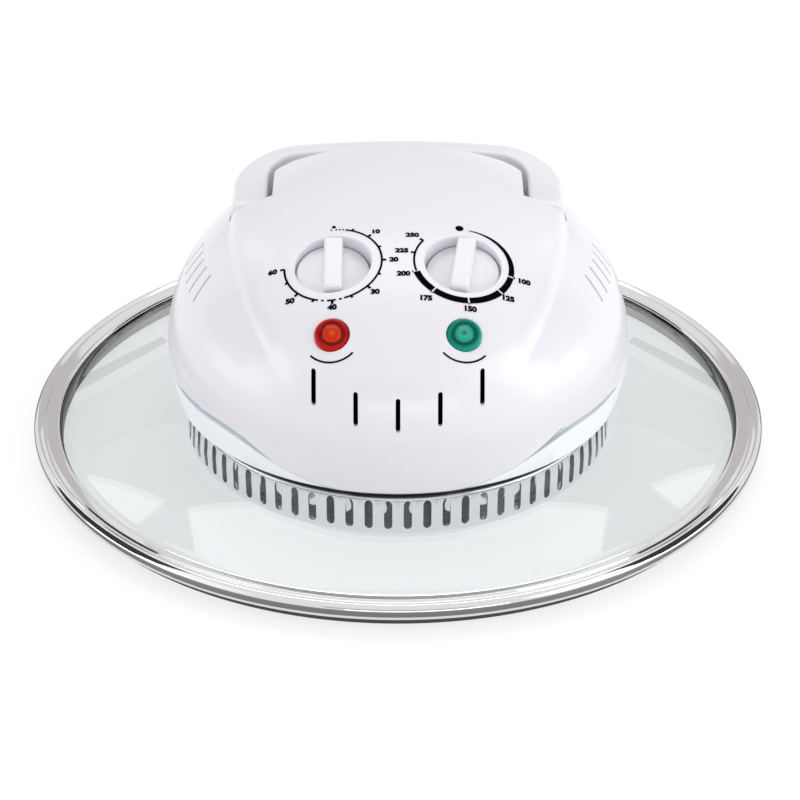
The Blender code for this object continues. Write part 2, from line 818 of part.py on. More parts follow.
def glass_top(radius):
    """Height of the glass's top face."""
    if radius <= GLASS_SEAT_RADIUS:
        return GLASS_SEAT_TOP
    edge_top = RIM_BOTTOM + RIM_SHEET + GAP + GLASS_THICKNESS
    edge_radius = RIM_RADIUS - RIM_WIDTH
    share = (radius - GLASS_SEAT_RADIUS) / (edge_radius - GLASS_SEAT_RADIUS)
    return GLASS_SEAT_TOP - (GLASS_SEAT_TOP - edge_top) * min(share, 1.0) ** GLASS_FALL_POWER


def make_rim_band():
    inner = RIM_RADIUS - RIM_WIDTH
    top = RIM_BOTTOM + RIM_HEIGHT
    step_radius = RIM_RADIUS - RIM_STEP_WIDTH
    step_top = top - RIM_STEP_DROP
    glass_low = RIM_BOTTOM + RIM_SHEET
    glass_high = glass_low + 2 * GAP + GLASS_THICKNESS
    throat = RIM_RADIUS - RIM_EDGE_ROUND - RIM_SHEET
    profile = [
        (step_radius, top), (RIM_RADIUS - RIM_EDGE_ROUND, top), (RIM_RADIUS, top - RIM_EDGE_ROUND),
        (RIM_RADIUS, RIM_BOTTOM + RIM_EDGE_ROUND), (RIM_RADIUS - RIM_EDGE_ROUND, RIM_BOTTOM),
        (step_radius, RIM_BOTTOM), (step_radius, glass_low), (throat, glass_low),
        (throat, glass_high), (inner, glass_high), (inner, step_top), (step_radius - RIM_SHEET, step_top),
    ]
    return turned("rim_band", profile, RING_STEPS, BRIGHT_STEEL)


def make_lid_glass():
    edge = RIM_RADIUS - RIM_EDGE_ROUND - RIM_SHEET - GAP
    inner_edge = RIM_RADIUS - RIM_WIDTH
    radii = [GLASS_HOLE_RADIUS, GLASS_SEAT_RADIUS]
    for step in range(1, GLASS_FALL_STEPS + 1):
        radii.append(GLASS_SEAT_RADIUS + (inner_edge - GLASS_SEAT_RADIUS) * step / GLASS_FALL_STEPS)
    radii.append(edge)
    upper = [(radius, glass_top(radius)) for radius in radii]
    lower = [(radius, height - GLASS_THICKNESS) for radius, height in reversed(upper)]
    return turned("lid_glass", upper + lower, RING_STEPS, GLASS)


def make_rim_seal():
    outer = RIM_RADIUS - RIM_STEP_WIDTH - GAP
    inner = outer - SEAL_WIDTH
    under_outer = glass_top(outer) - GLASS_THICKNESS - GAP
    under_inner = glass_top(inner) - GLASS_THICKNESS - GAP
    profile = [(outer, under_outer), (outer, SEAL_FOOT_BEVEL), (outer - SEAL_FOOT_BEVEL, 0.0),
               (inner + SEAL_FOOT_BEVEL, 0.0), (inner, SEAL_FOOT_BEVEL), (inner, under_inner)]
    if RIM_RADIUS - RIM_WIDTH > inner:
        bend = RIM_RADIUS - RIM_WIDTH
        profile.append((bend, glass_top(bend) - GLASS_THICKNESS - GAP))
    return turned("rim_seal", profile, RING_STEPS, SILICONE)


def lower_gasket_bottom():
    return GLASS_SEAT_TOP - GLASS_THICKNESS - GAP - GASKET_THICKNESS


def make_gaskets():
    outer = HEAD_BASE_RADIUS - WALL
    turned("upper_gasket", ring_profile(GASKET_INNER_RADIUS, outer, GLASS_SEAT_TOP + GAP, HEAD_BASE - GAP),
           RING_STEPS, SILICONE)
    bottom = lower_gasket_bottom()
    turned("lower_gasket", ring_profile(GASKET_INNER_RADIUS, DRUM_RADIUS - DRUM_SHEET, bottom,
                                        bottom + GASKET_THICKNESS), RING_STEPS, SILICONE)


# Drum and what it holds

def drum_top():
    return lower_gasket_bottom() - GAP


def slot_band(name, radius, count, width, length, middle, shift, depth, end_points):
    """One cutter with a ring of upright slots."""
    work = bmesh.new()
    for index in range(count):
        angle = FULL_TURN * (index + shift) / count
        matrix = frame_at(on_circle(radius, angle, middle), on_circle(1.0, angle + math.pi / 2),
                          (0.0, 0.0, 1.0))
        prism(work, stadium(width, length, end_points), matrix, depth)
    return from_bmesh(name, work)


def screw_holes(name, radius, circle_radius, angles, low, high, steps=TINY_STEPS):
    """One cutter with upright round holes on a circle."""
    work = bmesh.new()
    for angle in angles:
        centre = on_circle(circle_radius, angle, (low + high) / 2)
        prism(work, circle(radius, steps, HOLE_TWIST), Matrix.Translation(centre), high - low)
    return from_bmesh(name, work)


def clamp_angles():
    return [FULL_TURN * index / CLAMP_COUNT for index in range(CLAMP_COUNT)]


def boss_angles():
    """Directions half-way between the clamp screws."""
    return [FULL_TURN * (index + 0.5) / BOSS_COUNT for index in range(BOSS_COUNT)]


def make_drum():
    top = drum_top()
    profile = [(DRUM_FLANGE_INNER_RADIUS, top), (DRUM_RADIUS, top), (DRUM_RADIUS, DRUM_BOTTOM),
               (DRUM_RADIUS - DRUM_LIP, DRUM_BOTTOM), (DRUM_RADIUS - DRUM_LIP, DRUM_BOTTOM + DRUM_SHEET),
               (DRUM_RADIUS - DRUM_SHEET, DRUM_BOTTOM + DRUM_SHEET), (DRUM_RADIUS - DRUM_SHEET, top - DRUM_SHEET),
               (DRUM_FLANGE_INNER_RADIUS, top - DRUM_SHEET)]
    drum = turned("slotted_drum", profile, DRUM_STEPS, DRUM_STEEL)
    cut(drum, slot_band("drum_slots_cut", DRUM_RADIUS, DRUM_SLOTS, DRUM_SLOT_WIDTH, DRUM_SLOT_LENGTH,
                        DRUM_SLOT_MIDDLE, DRUM_FRONT_SHIFT, 2 * OVERRUN, DRUM_SLOT_STEPS))
    cut(drum, screw_holes("drum_holes_cut", CLAMP_RADIUS + CLAMP_HOLE_GAP, CLAMP_CIRCLE, clamp_angles(),
                          top - OVERRUN, top + OVERRUN))
    cut(drum, bulb_hole("drum_bulb_cut", top - OVERRUN, top + OVERRUN))
    return drum


def bulb_hole(name, low, high):
    return screw_holes(name, BULB_RADIUS + GAP, BULB_CIRCLE, [BULB_ANGLE], low, high)


def reflector_top():
    return drum_top() - DRUM_SHEET - GAP


def make_screen():
    top = reflector_top() - REFLECTOR_SHEET - GAP
    bottom = DRUM_BOTTOM + DRUM_SHEET + GUARD_SHEET + 2 * GAP
    screen = turned("inner_screen", ring_profile(SCREEN_RADIUS - SCREEN_SHEET, SCREEN_RADIUS, bottom, top),
                    SCREEN_STEPS, PLATED_STEEL)
    cut(screen, slot_band("screen_slots_cut", SCREEN_RADIUS, SCREEN_RIBS, SCREEN_SLOT_WIDTH,
                          SCREEN_SLOT_LENGTH, (top + bottom) / 2, DRUM_FRONT_SHIFT, 2 * OVERRUN,
                        SCREEN_SLOT_STEPS))
    return screen


def cap_places():
    return [math.pi / 2 + side * TUBE_END_ANGLE for side in (-1, 1)]


def cap_holes(name, low, high):
    return screw_holes(name, CAP_RADIUS + GAP, TUBE_RING_RADIUS, cap_places(), low, high, SMALL_STEPS)


def make_reflector():
    top = reflector_top()
    outer = SCREEN_RADIUS + DRUM_SHEET
    reflector = turned("reflector_plate", ring_profile(BEARING_RADIUS + GAP, outer,
                                                       top - REFLECTOR_SHEET, top), RING_STEPS, BRIGHT_STEEL)
    low, high = top - OVERRUN, top + OVERRUN
    cut(reflector, cap_holes("reflector_caps_cut", low, high))
    cut(reflector, screw_holes("reflector_holes_cut", CLAMP_RADIUS + CLAMP_HOLE_GAP, CLAMP_CIRCLE,
                               clamp_angles(), low, high))
    cut(reflector, bulb_hole("reflector_bulb_cut", low, high))
    return reflector


def plate_bottom():
    return HEAD_BASE - GAP - PLATE_SHEET


def make_insulation():
    bottom, top = reflector_top() + GAP, plate_bottom() - GAP
    disc = turned("insulation_disc", ring_profile(BEARING_RADIUS + GAP, INSULATION_RADIUS, bottom, top),
                  RING_STEPS, FIBRE)
    cut(disc, cap_holes("insulation_caps_cut", bottom - OVERRUN, top + OVERRUN))
    return disc


def make_steel_plate():
    bottom, top = plate_bottom(), plate_bottom() + PLATE_SHEET
    disc = turned("steel_plate", ring_profile(BEARING_RADIUS + GAP, PLATE_RADIUS, bottom, top),
                  RING_STEPS, PLATED_STEEL)
    low, high = bottom - OVERRUN, top + OVERRUN
    cut(disc, screw_holes("plate_holes_cut", CLAMP_RADIUS + CLAMP_HOLE_GAP, CLAMP_CIRCLE, clamp_angles(),
                          low, high))
    cut(disc, bulb_hole("plate_bulb_cut", low, high))
    return disc


def sector_hole(inner, outer, start, stop):
    """A hole between two radii and two angles."""
    points = []
    for radius, first, last in ((outer, start, stop), (inner, stop, start)):
        for step in range(GUARD_ARC_STEPS):
            angle = first + (last - first) * step / (GUARD_ARC_STEPS - 1)
            points.append((radius * math.cos(angle), radius * math.sin(angle)))
    return points


def make_guard():
    outer = DRUM_RADIUS - DRUM_SHEET - GAP
    open_outer = outer - GUARD_RIM_WIDTH
    row_width = (open_outer - GUARD_HUB_RADIUS) / GUARD_ROWS
    outlines = [circle(outer, RING_STEPS)]
    for row in range(GUARD_ROWS):
        near = GUARD_HUB_RADIUS + row_width * row
        far = near + row_width - GUARD_RIB
        count = GUARD_HOLES_INNER_ROW * (row + 1)
        for index in range(count):
            rib = GUARD_RIB / ((near + far) / 2)
            start = FULL_TURN * index / count + rib / 2
            outlines.append(sector_hole(near, far, start, start + FULL_TURN / count - rib))
    guard = plate("heater_guard", outlines, GUARD_SHEET, DRUM_STEEL)
    return place(guard, (0.0, 0.0, DRUM_BOTTOM + DRUM_SHEET + GAP + GUARD_SHEET / 2))


def make_heater():
    first = math.pi / 2 + TUBE_END_ANGLE
    sweep = FULL_TURN - 2 * TUBE_END_ANGLE
    end_height = TUBE_HEIGHT + TUBE_BEND
    points = [on_circle(TUBE_RING_RADIUS, first, end_height)]
    for step in range(TUBE_ARC_STEPS + 1):
        points.append(on_circle(TUBE_RING_RADIUS, first + sweep * step / TUBE_ARC_STEPS, TUBE_HEIGHT))
    points.append(on_circle(TUBE_RING_RADIUS, first + sweep, end_height))
    tube("halogen_tube", points, TUBE_RADIUS, QUARTZ, TUBE_ROUND_STEPS)
    low = end_height + GAP
    high = plate_bottom() - GAP
    for name, angle in zip(("heater_cap_right", "heater_cap_left"), cap_places()):
        cap = turned(name, rod_profile(CAP_RADIUS, low, high), SMALL_STEPS, CERAMIC)
        place(cap, on_circle(TUBE_RING_RADIUS, angle))


def make_tube_clips():
    """Flat clips that hang from the reflector and hold the heater ring."""
    inner = TUBE_RADIUS + RUNNING_GAP
    outer = inner + CLIP_BAND
    stem_top = reflector_top() - REFLECTOR_SHEET - GAP - TUBE_HEIGHT
    half = CLIP_STEM / 2
    reach = math.asin(half / outer)
    band = []
    for step in range(SMALL_STEPS):
        angle = math.pi / 2 + reach + (FULL_TURN - 2 * reach) * step / (SMALL_STEPS - 1)
        band.append((outer * math.cos(angle), outer * math.sin(angle)))
    outline = [(half, stem_top), (-half, stem_top)] + band
    for index in range(CLIP_COUNT):
        angle = -math.pi / 2 + FULL_TURN * index / CLIP_COUNT
        clip = plate(f"tube_clip_{index + 1}", [outline, circle(inner, SMALL_STEPS)], CLIP_THICKNESS, BRIGHT_STEEL)
        clip.location = on_circle(TUBE_RING_RADIUS, angle, TUBE_HEIGHT)
        clip.rotation_euler = (math.pi / 2, 0.0, angle)


# Motor, shaft and fans

def make_motor_shaft():
    return turned("motor_shaft", rod_profile(MOTOR_SHAFT_RADIUS, MOTOR_SHAFT_BOTTOM, MOTOR_SHAFT_TOP),
                  SMALL_STEPS, BRIGHT_STEEL)


def on_shaft(radius, bottom, top):
    return ring_profile(MOTOR_SHAFT_RADIUS + GAP, radius, bottom, top)


def make_motor():
    bottom, top = STATOR_BOTTOM, STATOR_BOTTOM + STATOR_HEIGHT
    turned("motor_rotor", on_shaft(ROTOR_RADIUS, bottom, top), SMALL_STEPS, LAMINATED_STEEL)
    frame = [(STATOR_LEFT, -STATOR_HALF_DEPTH), (STATOR_RIGHT, -STATOR_HALF_DEPTH),
             (STATOR_RIGHT, STATOR_HALF_DEPTH), (STATOR_LEFT, STATOR_HALF_DEPTH)]
    window_right = STATOR_RIGHT - STATOR_LIMB
    window = [(STATOR_WINDOW_LEFT, -STATOR_WINDOW_HALF), (window_right, -STATOR_WINDOW_HALF),
              (window_right, STATOR_WINDOW_HALF), (STATOR_WINDOW_LEFT, STATOR_WINDOW_HALF)]
    bore = circle(ROTOR_RADIUS + AIR_GAP, SMALL_STEPS)
    stator = plate("motor_stator", [frame, bore, window], STATOR_HEIGHT, LAMINATED_STEEL)
    place(stator, (0.0, 0.0, (bottom + top) / 2))
    make_coil(window_right, bottom, top)


def make_coil(window_right, bottom, top):
    """The winding round the stator's right limb."""
    half = STATOR_WINDOW_HALF - 2 * GAP
    hole_low = Vector((window_right - GAP, -half - OVERRUN, bottom - GAP))
    hole_high = Vector((STATOR_RIGHT + GAP, half + OVERRUN, top + GAP))
    wall = Vector((COIL_WALL, 0.0, COIL_WALL))
    inset = Vector((0.0, OVERRUN, 0.0))
    coil = block("motor_coil", hole_low - wall + inset, hole_high + wall - inset, COPPER)
    cut(coil, block("coil_cut", hole_low, hole_high))


def make_bearings():
    plate_top = plate_bottom() + PLATE_SHEET
    low = reflector_top() - REFLECTOR_SHEET
    profile = [(BEARING_RADIUS, low), (BEARING_RADIUS, plate_top + GAP),
               (BEARING_RADIUS + WALL, plate_top + GAP), (BEARING_RADIUS + WALL, plate_top + GAP + BRIDGE_SHEET),
               (BEARING_RADIUS, plate_top + GAP + BRIDGE_SHEET), (BEARING_RADIUS, plate_top + BEARING_HEIGHT),
               (MOTOR_SHAFT_RADIUS + GAP, plate_top + BEARING_HEIGHT), (MOTOR_SHAFT_RADIUS + GAP, low)]
    turned("lower_bearing", profile, SMALL_STEPS, BRASS)
    stator_top = STATOR_BOTTOM + STATOR_HEIGHT
    bridge_low = stator_top + GAP
    half = BRIDGE_WIDTH / 2
    outline = [(-half, -STATOR_HALF_DEPTH), (half, -STATOR_HALF_DEPTH),
               (half, STATOR_HALF_DEPTH), (-half, STATOR_HALF_DEPTH)]
    hole = circle(BEARING_RADIUS - WALL + GAP, SMALL_STEPS)
    bridge = plate("bearing_bridge", [outline, hole], BRIDGE_SHEET, PLATED_STEEL)
    place(bridge, (0.0, 0.0, bridge_low + BRIDGE_SHEET / 2))
    shoulder = bridge_low + BRIDGE_SHEET + GAP
    upper = [(BEARING_RADIUS, shoulder), (BEARING_RADIUS, shoulder + BEARING_HEIGHT / 2),
             (MOTOR_SHAFT_RADIUS + GAP, shoulder + BEARING_HEIGHT / 2),
             (MOTOR_SHAFT_RADIUS + GAP, bridge_low + GAP), (BEARING_RADIUS - WALL, bridge_low + GAP),
             (BEARING_RADIUS - WALL, shoulder)]
    turned("upper_bearing", upper, SMALL_STEPS, BRASS)


def make_posts():
    low = plate_bottom() + PLATE_SHEET + GAP
    for name, side in (("motor_post_front", -1), ("motor_post_rear", 1)):
        post = turned(name, rod_profile(POST_RADIUS, low, STATOR_BOTTOM - GAP), SMALL_STEPS, PLATED_STEEL)
        place(post, (POST_X, side * POST_Y, 0.0))


def bladed_fan(name, radius, bottom, depth, blades, material):
    """A hub with pitched blades, joined into one solid."""
    fan = turned(name, on_shaft(HUB_RADIUS, bottom, bottom + depth), SMALL_STEPS, material)
    work = bmesh.new()
    root = HUB_RADIUS - (HUB_RADIUS - MOTOR_SHAFT_RADIUS - GAP) / 2
    length = radius - root
    sheet_height = BLADE_SHEET * math.cos(BLADE_PITCH)
    chord = (depth - sheet_height) / math.sin(BLADE_PITCH)
    width_at_root = 2 * root * math.sin(math.pi / blades) * BLADE_WIDTH_SHARE
    tip = min(chord, 2 * radius * math.sin(math.pi / blades) * BLADE_WIDTH_SHARE)
    start = min(width_at_root, tip)
    outline = [(-start / 2, 0.0), (start / 2, 0.0), (tip / 2, length), (-tip / 2, length)]
    for index in range(blades):
        angle = FULL_TURN * index / blades
        matrix = (Matrix.Rotation(angle, 4, "Z") @ Matrix.Translation((0.0, root, bottom + depth / 2))
                  @ Matrix.Rotation(BLADE_PITCH, 4, "Y"))
        prism(work, outline, matrix, BLADE_SHEET)
    cut(fan, from_bmesh(name + "_blades", work), "UNION")
    return fan


def make_fans():
    bladed_fan("convection_fan", CONVECTION_RADIUS, CONVECTION_TOP - CONVECTION_DEPTH, CONVECTION_DEPTH,
               CONVECTION_BLADES, DRUM_STEEL)
    bladed_fan("cooling_fan", COOLING_RADIUS, COOLING_BOTTOM, COOLING_DEPTH, COOLING_BLADES, NYLON)
    fan_bottom = CONVECTION_TOP - CONVECTION_DEPTH
    outlines = [circle(NUT_RADIUS, NUT_STEPS), circle(MOTOR_SHAFT_RADIUS + GAP, SMALL_STEPS)]
    nut = plate("fan_nut", outlines, NUT_HEIGHT, PLATED_STEEL)
    place(nut, (0.0, 0.0, fan_bottom - GAP - NUT_HEIGHT / 2))


# Base ring and shell

def base_profile(turn):
    """Section of the base ring in one direction: floor, tapered wall up to the seam, and lip."""
    seam = seam_height(turn) - GAP
    floor_top = HEAD_BASE + BASE_FLOOR
    side = min(side_radius(seam, HEAD_RADIUS), HEAD_RADIUS)
    lip = side - WALL - GAP
    lip_inner = lip - BASE_LIP_THICKNESS
    foot_inner = min(lip_inner, HEAD_BASE_RADIUS - WALL - GAP - BASE_LIP_THICKNESS)
    return [(HEAD_BASE_RADIUS, HEAD_BASE), (side, seam), (lip, seam),
            (lip - BASE_LIP_LEAN, seam + BASE_LIP_HEIGHT),
            (lip_inner - BASE_LIP_LEAN, seam + BASE_LIP_HEIGHT), (foot_inner, floor_top),
            (BASE_FLOOR_INNER_RADIUS, floor_top), (BASE_FLOOR_INNER_RADIUS, HEAD_BASE)]


def make_base_ring():
    """The lower housing, with bosses for the clamp screws and holes for the shell's screws."""
    loops = []
    for turn in head_turns():
        loops.append([Vector((radius * math.sin(turn), -radius * math.cos(turn), height))
                      for radius, height in base_profile(turn)])
    ring = bridged("base_ring", loops, BASE_WHITE, closed=True)
    top = HEAD_BASE + BASE_BOSS_HEIGHT
    low, high = HEAD_BASE - OVERRUN, top + OVERRUN
    cut(ring, screw_holes("base_bosses", BASE_BOSS_RADIUS, CLAMP_CIRCLE, clamp_angles(),
                          HEAD_BASE + GAP, top, SMALL_STEPS), "UNION")
    cut(ring, screw_holes("base_clamp_cut", CLAMP_RADIUS + CLAMP_HOLE_GAP, CLAMP_CIRCLE, clamp_angles(),
                          low, high))
    cut(ring, screw_holes("base_screw_cut", SHELL_SCREW_RADIUS + GAP, BOSS_CIRCLE, boss_angles(), low, high))
    cut(ring, bulb_hole("base_bulb_cut", low, high))
    return ring


def shell_edge(turn):
    return seam_height(turn) + scoop(turn)


def knob_centre(side):
    x, y = side * KNOB_X, KNOB_Y
    return Vector((x, y, head_height(x, y)))


def lamp_centre(side):
    x, y = side * LAMP_X, LAMP_Y
    return Vector((x, y, head_height(x, y)))


def tilted_rod(name, radius, centre, tilt, low, high, steps):
    """A cutter along a control's own axis, between two heights on that axis."""
    return place(turned(name, rod_profile(radius, low, high), steps), centre, tilt)


def keep_well_walls(cavity):
    """Leave a wall's thickness of shell round each knob's well."""
    for word, side in (("left", -1), ("right", 1)):
        cut(cavity, tilted_rod(f"well_wall_{word}", WELL_RADIUS + WALL, knob_centre(side), KNOB_TILT,
                               -WELL_DEPTH - WALL, OVERRUN, KNOB_STEPS))


def stepped_rod(name, wide, narrow, step_height, centre, tilt, steps):
    """A cutter along a control's own axis: wide above a step, narrow below it."""
    profile = [(0.0, 2 * OVERRUN), (wide, 2 * OVERRUN), (wide, step_height), (narrow, step_height),
               (narrow, step_height - 2 * OVERRUN), (0.0, step_height - 2 * OVERRUN)]
    return place(turned(name, profile, steps), centre, tilt)


def cut_controls(shell):
    """Wells and shaft holes for the knobs, seats and holes for the lamps."""
    for word, side in (("left", -1), ("right", 1)):
        cut(shell, stepped_rod(f"well_cut_{word}", WELL_RADIUS, CONTROL_NECK_RADIUS + GAP, -WELL_DEPTH,
                               knob_centre(side), KNOB_TILT, KNOB_STEPS), solver="MANIFOLD")
        cut(shell, stepped_rod(f"lens_cut_{word}", LENS_RADIUS + GAP, LENS_STEM_RADIUS + GAP, -LENS_SEAT,
                               lamp_centre(side), LAMP_TILT, SMALL_STEPS), solver="MANIFOLD")


def cut_vents(shell):
    """Upright slots below the lamps, the same on both sides of the middle one."""
    work = bmesh.new()
    outermost = len(VENT_HEIGHTS) - 1
    for index in range(-outermost, outermost + 1):
        matrix = frame_at((index * VENT_PITCH, -HEAD_RADIUS, VENT_HEIGHTS[abs(index)]), (1.0, 0.0, 0.0),
                          (0.0, 0.0, 1.0))
        prism(work, stadium(VENT_WIDTH, VENT_LENGTH), matrix, 2 * VENT_CUT_REACH)
    cut(shell, from_bmesh("vents_cut", work), solver="MANIFOLD")


def cut_louvres(shell):
    """Short shallow grooves that run down each shoulder."""
    work = bmesh.new()
    for side in (-1, 1):
        for index in range(LOUVRE_COUNT):
            angle = side * (LOUVRE_FIRST + LOUVRE_PITCH * index)
            upper, lower = (head_point(angle, share) for share in LOUVRE_SHARES)
            across = Vector((math.cos(angle), math.sin(angle), 0.0))
            matrix = frame_at((upper + lower) / 2, across, upper - lower)
            prism(work, stadium(LOUVRE_WIDTH, (upper - lower).length, LOUVRE_STEPS), matrix, 2 * LOUVRE_DEPTH)
    cut(shell, from_bmesh("louvres_cut", work), solver="MANIFOLD")


def recess_solid(name, grow):
    """The finger recess, or the same block grown by a wall."""
    low = (-RECESS_HALF_WIDTH - grow, RECESS_FRONT_Y - grow, HEAD_CROWN - RECESS_DEPTH - grow)
    high = (RECESS_HALF_WIDTH + grow, RECESS_REAR_Y + grow, HEAD_CROWN + 2 * OVERRUN)
    obj = block(name, low, high)
    bevel = obj.modifiers.new("corners", "BEVEL")
    bevel.width = RECESS_CORNER
    bevel.segments = 2
    bevel.limit_method = "ANGLE"
    return obj


def make_upper_shell():
    shell = closed_skin("upper_shell", 0.0, shell_edge, WHITE)
    cavity = closed_skin("cavity_cut", WALL, lambda turn: HEAD_BASE - OVERRUN)
    channel = channel_solid("channel_cut", 0.0, CHANNEL_RISE)
    cut(cavity, channel_solid("channel_walls", WALL, CHANNEL_RISE))
    cut(cavity, recess_solid("recess_walls", WALL))
    keep_well_walls(cavity)
    cut(shell, cavity)
    cut(shell, channel)
    cut(shell, recess_solid("recess_cut", 0.0))
    add_bosses(shell)
    cut_pin_holes(shell)
    cut_switch_hole(shell)
    cut_grommet_hole(shell)
    cut_controls(shell)
    cut_vents(shell)
    cut_louvres(shell)
    return shell


def add_bosses(shell):
    """Columns that take the screws from below."""
    bottom = HEAD_BASE + BASE_FLOOR + GAP
    work = bmesh.new()
    for angle in boss_angles():
        spot, far = on_circle(BOSS_CIRCLE, angle), on_circle(BOSS_CIRCLE + BOSS_RADIUS, angle)
        top = head_height(far.x, far.y) - WALL / 2
        middle = Vector((spot.x, spot.y, (bottom + top) / 2))
        prism(work, circle(BOSS_RADIUS, TINY_STEPS, HOLE_TWIST), Matrix.Translation(middle), top - bottom)
    cut(shell, from_bmesh("boss_columns", work), "UNION")
    cut(shell, screw_holes("pilot_cut", BOSS_PILOT_RADIUS, BOSS_CIRCLE, boss_angles(),
                           bottom - OVERRUN, bottom + BOSS_PILOT_DEPTH))


def pin_rod(name, radius, side, inner, outer, steps, material=None):
    """A rod along the handle's hinge axis, between two distances from the middle."""
    rod = turned(name, rod_profile(radius, inner, outer), steps, material)
    rod.location = (0.0, HANDLE_PIVOT_Y, pivot_height())
    rod.rotation_euler = (0.0, side * math.pi / 2, 0.0)
    return rod


def pin_span():
    """Where each pin starts, in the console's side wall, and ends, in the arm."""
    arm_inner = HANDLE_ARM_X - HANDLE_ARM_WIDTH / 2
    return arm_inner - HANDLE_ARM_SLIT - WALL + GAP, arm_inner + PIN_IN_ARM


def cut_pin_holes(shell):
    start, _ = pin_span()
    for word, side in (("left", -1), ("right", 1)):
        cut(shell, pin_rod(f"pin_seat_{word}", PIN_RADIUS + GAP, side, start - OVERRUN,
                           HANDLE_ARM_X, SMALL_STEPS))


def plunger_top():
    return handle_crest(SWITCH_X, SWITCH_Y) - HANDLE_DEPTH - GAP


def channel_underside():
    """The lowest that the channel's floor comes over the switch."""
    front = SWITCH_Y - SWITCH_LENGTH / 2
    return handle_crest(SWITCH_X, front) - HANDLE_DEPTH - HANDLE_FLOOR_GAP - WALL


def cut_switch_hole(shell):
    rod = turned("plunger_hole_cut", rod_profile(PLUNGER_RADIUS + GAP, channel_underside() - OVERRUN,
                                                 plunger_top() + OVERRUN), SMALL_STEPS)
    cut(shell, place(rod, (SWITCH_X, SWITCH_Y, 0.0)))


def rear_wall():
    """Where the rear wall stands at the grommet's height."""
    level = (GROMMET_HEIGHT - HEAD_SHOULDER) / (HEAD_CROWN - HEAD_SHOULDER)
    share = (1.0 - level ** HEAD_FORM) ** (1.0 / HEAD_FORM)
    return CROWN_SETBACK + (HEAD_RADIUS - CROWN_SETBACK) * share


def rear_rod(name, profile, steps, material=None):
    """A piece turned about an axis along +Y at the grommet's height, its z counted from the wall."""
    rod = turned(name, profile, steps, material)
    rod.location = (0.0, rear_wall(), GROMMET_HEIGHT)
    rod.rotation_euler = (-math.pi / 2, 0.0, 0.0)
    return rod


def cut_grommet_hole(shell):
    cut(shell, rear_rod("grommet_hole_cut", rod_profile(GROMMET_RADIUS + GAP, -2 * OVERRUN, OVERRUN),
                        SMALL_STEPS))


def make_grommet():
    """The cord's inlet: a bush whose flange lies on the rear wall."""
    inner_end = -WALL - OVERRUN
    flange = GROMMET_RADIUS + GROMMET_FLANGE
    profile = [(GROMMET_BORE, GROMMET_FLANGE + 2 * GAP), (flange, GROMMET_FLANGE + 2 * GAP),
               (flange, 2 * GAP), (GROMMET_RADIUS, 2 * GAP), (GROMMET_RADIUS, inner_end), (GROMMET_BORE, inner_end)]
    return rear_rod("cord_grommet", profile, SMALL_STEPS, BLACK)


def make_handle():
    """The bail, with its origin on its hinge axis and blind holes for the pins."""
    ends = []
    for angle in HANDLE_END_ANGLES:
        ends.append((HANDLE_PIVOT_Y - HANDLE_END_REACH * math.cos(angle), math.sin(angle)))
    handle = follow_handle("handle", ends, handle_section, WHITE)
    hinge = Vector((0.0, HANDLE_PIVOT_Y, pivot_height()))
    handle.data.transform(Matrix.Translation(-hinge))
    handle.location = hinge
    for word, side in (("left", -1), ("right", 1)):
        _, end = pin_span()
        start = HANDLE_ARM_X - HANDLE_ARM_WIDTH / 2 - OVERRUN
        cut(handle, pin_rod(f"arm_hole_{word}", PIN_RADIUS + RUNNING_GAP, side, start, end + GAP, SMALL_STEPS))
    return handle


def make_pins():
    start, end = pin_span()
    for name, side in (("pivot_pin_left", -1), ("pivot_pin_right", 1)):
        pin_rod(name, PIN_RADIUS, side, start, end, SMALL_STEPS, BRIGHT_STEEL)


# Controls

def knob_floor():
    """Height of a knob's underside on its own axis, counted from the console's face."""
    return -WELL_DEPTH + GAP


def make_knob(name, carrier, rest_turn):
    """A round disc with a raised bar across it, bored for its shaft."""
    low = knob_floor()
    top = low + KNOB_DISC
    profile = [(0.0, top), (KNOB_RADIUS - KNOB_EDGE, top), (KNOB_RADIUS, top - KNOB_EDGE),
               (KNOB_RADIUS, low), (0.0, low)]
    knob = turned(name, profile, KNOB_STEPS, KNOB_WHITE)
    half = KNOB_GRIP_WIDTH / 2
    length = math.sqrt((KNOB_RADIUS - KNOB_EDGE) ** 2 - half ** 2)
    grip = block(name + "_grip", (-half, -length, low + KNOB_DISC / 2),
                 (half, length, top + KNOB_GRIP_HEIGHT), edge=KNOB_EDGE)
    grip.rotation_euler = (0.0, 0.0, rest_turn)
    bore = turned(name + "_bore", rod_profile(SHAFT_RADIUS + GAP, low - OVERRUN, low + SHAFT_IN_KNOB + GAP),
                  SMALL_STEPS)
    cut(knob, carried(grip, carrier), "UNION")
    cut(knob, carried(bore, carrier))
    return carried(knob, carrier)


def body_top():
    """Where a control's body starts below the console, on the knob's axis."""
    return -WELL_DEPTH - WALL - GAP


def make_shaft(name, carrier):
    low = body_top() - SHAFT_IN_BODY
    return carried(turned(name, rod_profile(SHAFT_RADIUS, low, knob_floor() + SHAFT_IN_KNOB), SMALL_STEPS,
                          BRASS), carrier)


def neck_cutter(name, carrier):
    """The shaft's bore in a control's body."""
    top = body_top()
    return carried(turned(name, rod_profile(SHAFT_RADIUS + GAP, top - SHAFT_IN_BODY - GAP,
                                            top + 2 * OVERRUN), SMALL_STEPS), carrier)


def make_timer(carrier):
    top = body_top()
    half = CONTROL_BODY_SIZE / 2
    body = block("timer_body", (-half, -half, top - TIMER_BODY_DEPTH), (half, half, top), PLATED_STEEL,
                 KNOB_EDGE)
    neck = carried(turned("timer_neck", rod_profile(CONTROL_NECK_RADIUS, top - OVERRUN, top + CONTROL_NECK),
                          SMALL_STEPS), carrier)
    cut(body, neck, "UNION")
    cut(body, neck_cutter("timer_bore", carrier))
    return carried(body, carrier)


